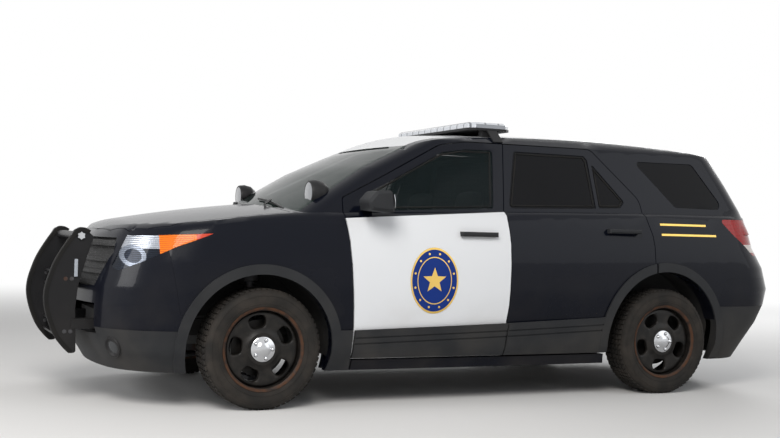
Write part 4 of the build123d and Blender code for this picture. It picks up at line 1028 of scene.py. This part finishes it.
def smooth_line(points, steps=6):
    """Catmull-Rom curve through points."""
    points = [Vector(point) for point in points]
    line = []
    for k in range(len(points) - 1):
        a, b = points[max(k - 1, 0)], points[k]
        c, d = points[k + 1], points[min(k + 2, len(points) - 1)]
        for j in range(steps):
            t = j / steps
            line.append(0.5 * (2 * b + (c - a) * t + (2 * a - 5 * b + 4 * c - d) * t * t
                               + (3 * b - a - 3 * c + d) * t ** 3))
    return line + [points[-1]]


BOLT_RADIUS = 0.009
# Radius, foot, top and number of sides of a bolt's washer and of its head
BOLT_WASHER = (BOLT_RADIUS * 1.45, -0.001, 0.0016, 20)
BOLT_HEAD = (BOLT_RADIUS, 0.0, 0.006, 6)


def hexagon_bolt(bm, centre, axis):
    """Bolt head on a washer."""
    way = Vector(axis).normalized()
    turn = way.to_track_quat("Z", "Y").to_matrix().to_4x4()
    for reach, low, high, sides in (BOLT_WASHER, BOLT_HEAD):
        made = bmesh.ops.create_cone(bm, cap_ends=True, segments=sides, radius1=reach, radius2=reach * 0.94,
                                     depth=high - low)
        middle = Vector(centre) + way * (low + high) / 2
        bmesh.ops.transform(bm, matrix=Matrix.Translation(middle) @ turn, verts=made["verts"])


class VEHICLE_OT_push_bumper(bpy.types.Operator):
    """Rubber edging, side plates, bolts and side lamps of the push bumper"""

    bl_idname = "vehicle.push_bumper"
    bl_label = "Push bumper fittings"

    def execute(self, context):
        used = finishes()
        bm = bmesh.new()
        for sign in SIDES.values():
            line = smooth_line([(x, sign * PUSH_Y, z) for x, z in UPRIGHT_LEAD])
            rings = []
            for k, point in enumerate(line):
                way = (line[min(k + 1, len(line) - 1)] - line[max(k - 1, 0)]).normalized()
                out = Vector((-way.z, 0, way.x))
                rings.append([bm.verts.new(point + Vector((0, across, 0)) + out * up)
                              for across, up in EDGING])
            join_rings(bm, rings, capped=True)
        smooth_by_angle(link_mesh("bumper_edging", bm, used["rubber"], "body"), 40.0)
        bm = bmesh.new()
        for sign in SIDES.values():
            for hand in (1, -1):
                faces = [sign * PUSH_Y + hand * reach for reach in (PLATE_BACK, PLATE_FACE)]
                ends = [[bm.verts.new((x, y, z)) for x, z in rounded(UPRIGHT_COVER)] for y in faces]
                join_rings(bm, ends, capped=True)
        link_mesh("bumper_side_plates", bm, used["powder"], "body")
        bm = bmesh.new()
        for sign in SIDES.values():
            for x, z in SIDE_BOLTS:
                for hand in (1, -1):
                    hexagon_bolt(bm, (x, sign * PUSH_Y + hand * PLATE_FACE, z), (0, hand, 0))
            for z in CHANNEL_BOLTS:
                hexagon_bolt(bm, (CHANNEL_FACE, sign * CHANNEL_BOLT_Y, z), (1, 0, 0))
        link_mesh("bumper_bolts", bm, used["steel"], "body")
        bm = bmesh.new()
        for sign in SIDES.values():
            for reach, low, high in TUBE_END_STEPS:
                ends = [[bm.verts.new((x, sign * y, z)) for x, z in star(TUBE_END, reach, 6, 0.74)]
                        for y in (low, high)]
                join_rings(bm, ends, capped=True)
        link_mesh("tube_end_bolts", bm, used["chrome"], "body")
        bm = bmesh.new()
        x, y, z = SIDE_LAMP
        for sign in SIDES.values():
            add_box(bm, (x, sign * y, z), SIDE_LAMP_SIZE, bevel=0.004)
        link_mesh("bumper_side_lamps", bm, used["strip_lamp"], "body")
        return {"FINISHED"}


FOG_LAMP = (0.64, 0.352)
# Slope of the valance's face at the fog lamps, as sideways over forwards
FOG_LAMP_HEADING = 0.32
FOG_RING = (
    (0.038, -0.01), (0.062, -0.01), (0.0655, 0.0), (0.062, 0.006), (0.053, 0.007), (0.046, 0.001),
    (0.038, -0.004),
)
FOG_GLASS = (
    (0.0004, 0.0035), (0.02, 0.003), (0.036, 0.0), (0.0465, -0.004), (0.0465, -0.01), (0.0004, -0.01),
)
# A rib is shorter than the light bar's depth by its first size, and a strap is longer by its first
BAR_RIBS = 15
BAR_RIB_MARGIN = 0.07
BAR_RIB = (0.04, 0.004, 0.003)
BAR_STRAP_Y = 0.3
BAR_STRAP = (0.006, 0.012, 0.004)
SPOTLIGHT = (0.735, 1.285)
SPOTLIGHT_GLASS = (
    (0.0005, 1.1035), (0.06, 1.1025), (0.0695, 1.1015), (0.0745, 1.1005), (0.0755, 1.09), (0.0005, 1.09),
)


class VEHICLE_OT_lamps(bpy.types.Operator):
    """Fog lamps, ribs and straps of the light bar, and the spotlights' glass"""

    bl_idname = "vehicle.lamps"
    bl_label = "Lamps"

    def execute(self, context):
        used = finishes()
        valance = skin_finder("front_valance")
        for name, section, material, slot in (
            ("fog_lamp_rings", FOG_RING, used["black"], "black_plastic"),
            ("fog_lamp_glass", FOG_GLASS, used["fog_glass"], "clear_lens"),
        ):
            bm = bmesh.new()
            for sign in SIDES.values():
                y, z = FOG_LAMP
                point, normal = valance((AHEAD, sign * y, z), (-1, 0, 0))
                if normal.x < 0:
                    normal = Vector((1, sign * FOG_LAMP_HEADING, 0))
                part = bmesh.new()
                add_lathe(part, section, (0, 0, 0), "Z", 40)
                turn = normal.normalized().to_track_quat("Z", "Y").to_matrix().to_4x4()
                bmesh.ops.transform(part, matrix=Matrix.Translation(point) @ turn, verts=part.verts)
                bm.from_mesh(mesh_of(part, "fog"))
            smooth_by_angle(link_mesh(name, bm, material, "body"), 40.0)
        bm = bmesh.new()
        low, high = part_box("light_bar_lens")
        middle, depth = (low[0] + high[0]) / 2, high[0] - low[0]
        span = high[1] - low[1] - 2 * BAR_RIB_MARGIN
        for k in range(BAR_RIBS):
            y = low[1] + BAR_RIB_MARGIN + span * k / (BAR_RIBS - 1)
            add_box(bm, (middle, y, high[2] - 0.0005), (depth - BAR_RIB[0], *BAR_RIB[1:]))
        for sign in SIDES.values():
            add_box(bm, (middle, sign * BAR_STRAP_Y, low[2] - 0.001), (depth + BAR_STRAP[0], *BAR_STRAP[1:]))
        link_mesh("light_bar_ribs", bm, used["black"], "body")
        bm = bmesh.new()
        y, z = SPOTLIGHT
        for sign in SIDES.values():
            add_lathe(bm, SPOTLIGHT_GLASS, (0, sign * y, z), "X", 40)
        smooth_by_angle(link_mesh("spotlight_glass", bm, used["light_bar"], "body"), 40.0)
        return {"FINISHED"}


WIPERS = (((1.235, 0.66), (1.19, 0.02)), ((1.265, 0.0), (1.215, -0.62)))
WIPER_LIFT = 0.012
WIPER_ROOT_X = 1.315
WIPER_PARTS = 12
MIRROR_GLASS = ((0.992, 1.196), (1.124, 1.204), (1.132, 1.24), (1.118, 1.283), (1.0, 1.292))
MIRROR_X = 0.6915
MIRROR_LEAN = 0.004
MIRROR_HEIGHT = 0.09
FRONT_WINDOW = (
    (0.732, 1.2), (0.752, 1.285), (0.655, 1.336), (0.196, 1.570), (0.03, 1.6), (-0.172, 1.6), (-0.1, 1.232),
)
REAR_WINDOW = ((-0.235, 1.242), (-0.352, 1.6), (-0.9, 1.6), (-0.916, 1.575), (-0.9, 1.258))
VENT_WINDOW = ((-0.945, 1.265), (-0.963, 1.52), (-1.142, 1.302), (-1.108, 1.268))
DOOR_WINDOWS = {"front": (FRONT_WINDOW,), "rear": (REAR_WINDOW, VENT_WINDOW)}
# The seal's line as a share of the window's outline, and how far it lies above the glass
SEAL_SHARE = 0.972
SEAL_LIFT = 0.001


class VEHICLE_OT_glass_trim(bpy.types.Operator):
    """Wipers, mirror glass and rubber window edges"""

    bl_idname = "vehicle.glass_trim"
    bl_label = "Glass trim"

    def execute(self, context):
        used = finishes()
        screen = skin_finder("windshield")
        bm = bmesh.new()
        for start, end in WIPERS:
            blade = []
            for k in range(WIPER_PARTS + 1):
                x, y = (a + (b - a) * (k / WIPER_PARTS) for a, b in zip(start, end))
                point, _ = screen((x, y, ABOVE), (0, 0, -1))
                blade.append(point + Vector((0, 0, WIPER_LIFT)))
            add_tube(bm, blade, 0.0065, 8)
            middle = blade[WIPER_PARTS // 2] + Vector((0, 0, WIPER_LIFT))
            foot = Vector((WIPER_ROOT_X, blade[2].y, blade[2].z - 0.02))
            add_tube(bm, [foot, foot + Vector((-0.01, -0.05, 0.03)), middle], 0.0075, 8)
        smooth_by_angle(link_mesh("wipers", bm, used["black"], "body"), 50.0)
        bottom = MIRROR_GLASS[0][1]
        for side, sign in SIDES.items():
            bm = bmesh.new()
            bm.faces.new([bm.verts.new((MIRROR_X + MIRROR_LEAN * (z - bottom) / MIRROR_HEIGHT, sign * y, z))
                          for y, z in MIRROR_GLASS])
            made = link_mesh("mirror_glass_" + side, bm, used["chrome"], "door_front_" + side)
            thicken(made, 0.003)
        for side, sign in SIDES.items():
            for end, windows in DOOR_WINDOWS.items():
                bm = bmesh.new()
                pane = skin_finder("glass_%s_%s" % (end, side))
                for outline in windows:
                    centre = middle_of(outline)
                    spots = [centre + (Vector(corner) - centre) * SEAL_SHARE
                             for corner in filled_in(list(outline), 8)]
                    line = [side_point(pane, x, z, sign, SEAL_LIFT) for x, z in spots]
                    add_tube(bm, line + [line[0]], 0.0055, 6)
                made = link_mesh("door_%s_seal_%s" % (end, side), bm, used["rubber"],
                                 "door_%s_%s" % (end, side))
                smooth_by_angle(made, 60.0)
        return {"FINISHED"}


# Cabin

GROOVE_DEPTH = 0.006
GROOVE_WIDTH = 0.035


def pad(bm, centre, size, lean, crown, steps=14, corner=0.045, channels=0):
    """Crowned cushion: a rounded box that swells between its edges, with sewn channels across it."""
    part = bmesh.new()
    bmesh.ops.create_cube(part, size=2.0)
    bmesh.ops.subdivide_edges(part, edges=part.edges, cuts=steps, use_grid_fill=True)
    half = Vector(size) / 2
    for vertex in part.verts:
        u, v, w = vertex.co
        swell = Vector((crown * (1 - v * v) * (1 - w * w) * u, crown * (1 - u * u) * (1 - w * w) * v,
                        crown * (1 - u * u) * (1 - v * v) * w))
        point = Vector((u * half.x, v * half.y, w * half.z))
        core = Vector(tuple(max(-h + corner, min(h - corner, c)) for h, c in zip(half, point)))
        off = point - core
        if off.length > corner:
            point = core + off.normalized() * corner
        groove = 0.0
        for channel in range(channels):
            line = -0.5 + channel / max(channels - 1, 1)
            groove += GROOVE_DEPTH * math.exp(-((v - line) / GROOVE_WIDTH) ** 2)
        point += swell
        if channels and abs(w) > 0.9:
            point.z -= math.copysign(groove, w)
        vertex.co = point
    matrix = Matrix.Translation(centre) @ Matrix.Rotation(lean, 4, "Y")
    bmesh.ops.transform(part, matrix=matrix, verts=part.verts)
    bmesh.ops.recalc_face_normals(part, faces=part.faces)
    bm.from_mesh(mesh_of(part, "pad"))


FRONT_SEAT_Y = 0.38
BENCH_SEATS = (0.39, 0.0, -0.39)
BENCH_WIDTH = 0.39
CUSHION_LEAN = -0.06
BACK_LEAN = -0.24
HEADREST_LEAN = -0.14
BENCH_CUSHION_LEAN = -0.05
BENCH_BACK_LEAN = -0.26


class VEHICLE_OT_seats(bpy.types.Operator):
    """Padded front seats and rear bench"""

    bl_idname = "vehicle.seats"
    bl_label = "Seats"

    def execute(self, context):
        used = finishes()
        bm = bmesh.new()
        for sign in SIDES.values():
            y = sign * FRONT_SEAT_Y
            pad(bm, (0.19, y, 0.535), (0.53, 0.36, 0.15), CUSHION_LEAN, 0.018, channels=3)
            for hand in (1, -1):
                pad(bm, (0.19, y + hand * 0.205, 0.555), (0.5, 0.1, 0.15), CUSHION_LEAN, 0.01, 8, 0.04)
                pad(bm, (-0.105, y + hand * 0.2, 0.84), (0.12, 0.1, 0.52), BACK_LEAN, 0.01, 8, 0.04)
            pad(bm, (-0.12, y, 0.86), (0.12, 0.36, 0.6), BACK_LEAN, 0.016, channels=3)
            pad(bm, (-0.2, y, 1.245), (0.095, 0.26, 0.18), HEADREST_LEAN, 0.012, 10, 0.035)
            for hand in (1, -1):
                post = y + hand * 0.07
                add_tube(bm, [(-0.175, post, 1.1), (-0.195, post, 1.19)], 0.006, 10)
            add_box(bm, (0.18, y, 0.40), (0.36, 0.38, 0.13), bevel=0.01)
        made = link_mesh("front_seats_padded", bm, used["seat"], "body")
        smooth_by_angle(made, 50.0)
        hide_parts("front_seats")
        bm = bmesh.new()
        for y in BENCH_SEATS:
            pad(bm, (-0.785, y, 0.615), (0.5, BENCH_WIDTH, 0.15), BENCH_CUSHION_LEAN, 0.014, channels=2)
            pad(bm, (-1.12, y, 0.88), (0.13, BENCH_WIDTH, 0.5), BENCH_BACK_LEAN, 0.014, channels=2)
        add_box(bm, (-0.75, 0, 0.44), (0.37, 1.04, 0.21), bevel=0.01)
        made = link_mesh("rear_bench_padded", bm, used["seat"], "body")
        smooth_by_angle(made, 50.0)
        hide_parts("rear_bench")
        return {"FINISHED"}


WIRE = 0.004
WIRE_PITCH = 0.04
UPRIGHT_WIRES = 27
UPRIGHT_WIRE_X = -0.366
UPRIGHT_WIRE_Y = -0.52
WIRE_FOOT = 1.13
WIRE_TOP = 1.575
# Beyond this far out the upright wires get shorter, as the body leans in
SHOULDER_Y = 0.44
SHOULDER_TOP = 1.56
SHOULDER_SLOPE = 3.0

CROSS_WIRES = 11
CROSS_WIRE_X = -0.362
CROSS_WIRE_Z = 1.16
CROSS_WIRE_HALF = 0.535
# Above this height the cross wires get shorter
TAPER_FROM = 1.26
TAPER_SLOPE = 0.3

# Place, size, lean and bevel of the terminal's screen and of its keyboard
TERMINAL = (
    ((0.775, -0.02, 1.02), (0.03, 0.3, 0.19), -0.2, 0.008),
    ((0.69, -0.06, 0.87), (0.16, 0.26, 0.03), -0.15, 0.006),
)


class VEHICLE_OT_cabin(bpy.types.Operator):
    """Wire mesh of the partition, and the terminal with its keyboard"""

    bl_idname = "vehicle.cabin"
    bl_label = "Cabin fittings"

    def execute(self, context):
        used = finishes()
        bm = bmesh.new()
        for k in range(UPRIGHT_WIRES):
            y = UPRIGHT_WIRE_Y + WIRE_PITCH * k
            top = WIRE_TOP if abs(y) < SHOULDER_Y else SHOULDER_TOP - (abs(y) - SHOULDER_Y) * SHOULDER_SLOPE
            add_box(bm, (UPRIGHT_WIRE_X, y, (WIRE_FOOT + top) / 2), (WIRE, WIRE, top - WIRE_FOOT))
        for k in range(CROSS_WIRES):
            z = CROSS_WIRE_Z + WIRE_PITCH * k
            half = CROSS_WIRE_HALF - max(0.0, z - TAPER_FROM) * TAPER_SLOPE
            add_box(bm, (CROSS_WIRE_X, 0, z), (WIRE, 2 * half, WIRE))
        link_mesh("partition_wire", bm, used["steel"], "body")
        bm = bmesh.new()
        for centre, size, lean, bevel in TERMINAL:
            add_box(bm, centre, size, Matrix.Rotation(lean, 4, "Y"), bevel)
        link_mesh("mobile_terminal", bm, used["black"], "body")
        return {"FINISHED"}


# Stage

CAMERA_PLACE = (3.5680, 7.4311, 1.0882)
CAMERA_TURN = (24.263, 0.751, 1.511)
FOCAL_PIXELS = 1161.9
SHIFT_PIXELS = -7.1
IMAGE_WIDTH = 780
SENSOR = 36.0
FLOOR_HALF = 40
FLOOR_FADE = (4.5, 13.0)
WORLD_LIGHT = 0.22
# Name, place, aim, size, power and colour of each lamp
STUDIO_LAMPS = (
    ("key", (4.5, 6.5, 6.0), (0.3, 0, 0.6), 4.0, 540.0, (1.0, 0.97, 0.93)),
    ("fill", (-7.0, 7.5, 5.5), (-0.5, 0, 0.8), 8.0, 190.0, (0.94, 0.97, 1.0)),
    ("rim", (-7.5, -6.0, 5.0), (-1.0, 0, 1.0), 4.0, 300.0, (1.0, 1.0, 1.0)),
    ("front", (8.5, 1.0, 3.0), (1.5, 0, 0.7), 3.0, 200.0, (1.0, 1.0, 1.0)),
)


def seen_rays(nodes, links):
    """1 for the rays that see the stage, straight or in gloss and glass, and 0 for its light."""
    rays = nodes.new("ShaderNodeLightPath")
    total = rays.outputs["Is Camera Ray"]
    for name in ("Is Glossy Ray", "Is Transmission Ray"):
        most = nodes.new("ShaderNodeMath")
        most.operation = "MAXIMUM"
        links.new(total, most.inputs[0])
        links.new(rays.outputs[name], most.inputs[1])
        total = most.outputs[0]
    return total


def lay_floor(scene):
    """Pale floor that fades to white with distance, for the rays that see it."""
    mesh = bpy.data.meshes.new("floor")
    corners = [(x * FLOOR_HALF, y * FLOOR_HALF, 0) for x, y in ((-1, -1), (1, -1), (1, 1), (-1, 1))]
    mesh.from_pydata(corners, [], [(0, 1, 2, 3)])
    floor = bpy.data.objects.new("floor", mesh)
    scene.collection.objects.link(floor)
    pale = Finish("floor_pale")
    pale.set(Base_Color=pale.mix(pale.noise(0.7), (0.76, 0.76, 0.76), (0.8, 0.8, 0.8)), Roughness=0.8)
    glow = pale.nodes.new("ShaderNodeEmission")
    fading = pale.nodes.new("ShaderNodeMixShader")
    distance = pale.x.length_with(pale.y)
    pale.put(fading.inputs[0], distance.step(*FLOOR_FADE) * Socket(pale, seen_rays(pale.nodes, pale.links)))
    pale.links.new(pale.shader.outputs[0], fading.inputs[1])
    pale.links.new(glow.outputs[0], fading.inputs[2])
    pale.links.new(fading.outputs[0], pale.nodes["Material Output"].inputs["Surface"])
    mesh.materials.append(pale.material)


def place_camera(scene):
    """Camera of the photograph, from its place, its turn and its focal length in pixels."""
    yaw, pitch, roll = (math.radians(angle) for angle in CAMERA_TURN)
    ahead = Vector((-math.sin(yaw) * math.cos(pitch), -math.cos(yaw) * math.cos(pitch), math.sin(pitch)))
    right = ahead.cross(Vector((0, 0, 1))).normalized()
    up = right.cross(ahead)
    leaned_right = math.cos(roll) * right + math.sin(roll) * up
    leaned_up = -math.sin(roll) * right + math.cos(roll) * up
    data = bpy.data.cameras.new("camera")
    data.sensor_width = SENSOR
    data.lens = FOCAL_PIXELS * SENSOR / IMAGE_WIDTH
    data.shift_y = SHIFT_PIXELS / IMAGE_WIDTH
    data.clip_end = 200.0
    camera = bpy.data.objects.new("camera", data)
    turned = Matrix((leaned_right, leaned_up, -ahead)).transposed().to_4x4()
    camera.matrix_world = Matrix.Translation(CAMERA_PLACE) @ turned
    scene.collection.objects.link(camera)
    scene.camera = camera


def hang_lamps(scene):
    for name, place, aim, size, power, colour in STUDIO_LAMPS:
        lamp = bpy.data.lights.new(name, "AREA")
        lamp.energy = power
        lamp.size = size
        lamp.color = colour
        holder = bpy.data.objects.new(name, lamp)
        holder.location = place
        holder.rotation_euler = (Vector(place) - Vector(aim)).to_track_quat("Z", "Y").to_euler()
        scene.collection.objects.link(holder)


def light_world(scene):
    """White where it is seen, and a soft light of its own on everything else."""
    world = bpy.data.worlds.new("studio")
    scene.world = world
    world.use_nodes = True
    nodes, links = world.node_tree.nodes, world.node_tree.links
    light = nodes["Background"]
    seen = nodes.new("ShaderNodeBackground")
    for background, strength in ((light, WORLD_LIGHT), (seen, 1.0)):
        background.inputs["Color"].default_value = (1, 1, 1, 1)
        background.inputs["Strength"].default_value = strength
    choice = nodes.new("ShaderNodeMixShader")
    links.new(seen_rays(nodes, links), choice.inputs[0])
    links.new(light.outputs[0], choice.inputs[1])
    links.new(seen.outputs[0], choice.inputs[2])
    links.new(choice.outputs[0], nodes["World Output"].inputs[0])


class VEHICLE_OT_stage(bpy.types.Operator):
    """Pale floor, soft studio lamps and the camera"""

    bl_idname = "vehicle.stage"
    bl_label = "Stage"

    def execute(self, context):
        scene = context.scene
        lay_floor(scene)
        place_camera(scene)
        hang_lamps(scene)
        light_world(scene)
        scene.view_settings.view_transform = "Standard"
        return {"FINISHED"}


OPERATORS = (
    VEHICLE_OT_finishes, VEHICLE_OT_tyres, VEHICLE_OT_wheels, VEHICLE_OT_hub_caps, VEHICLE_OT_markings,
    VEHICLE_OT_push_bumper, VEHICLE_OT_lamps, VEHICLE_OT_glass_trim, VEHICLE_OT_seats, VEHICLE_OT_cabin,
    VEHICLE_OT_stage,
)


class VEHICLE_PT_panel(bpy.types.Panel):
    """Steps of the vehicle's looks"""

    bl_label = "Police utility vehicle"
    bl_idname = "VEHICLE_PT_panel"
    bl_space_type = "VIEW_3D"
    bl_region_type = "UI"
    bl_category = "Vehicle"

    def draw(self, context):
        settings = settings_of(context)
        for name in ("paint", "white", "plastic", "dirt", "belt", "pitches", "emblem"):
            self.layout.prop(settings, name)
        for operator in OPERATORS:
            self.layout.operator(operator.bl_idname)


CLASSES = (VehicleSettings, *OPERATORS, VEHICLE_PT_panel)


def register():
    for each in CLASSES:
        bpy.utils.register_class(each)
    bpy.types.Scene.police_vehicle = bpy.props.PointerProperty(type=VehicleSettings)


def unregister():
    del bpy.types.Scene.police_vehicle
    for each in reversed(CLASSES):
        bpy.utils.unregister_class(each)


def main():
    register()
    for operator in OPERATORS:
        group, name = operator.bl_idname.split(".")
        getattr(getattr(bpy.ops, group), name)()


if __name__ == "__main__":
    main()
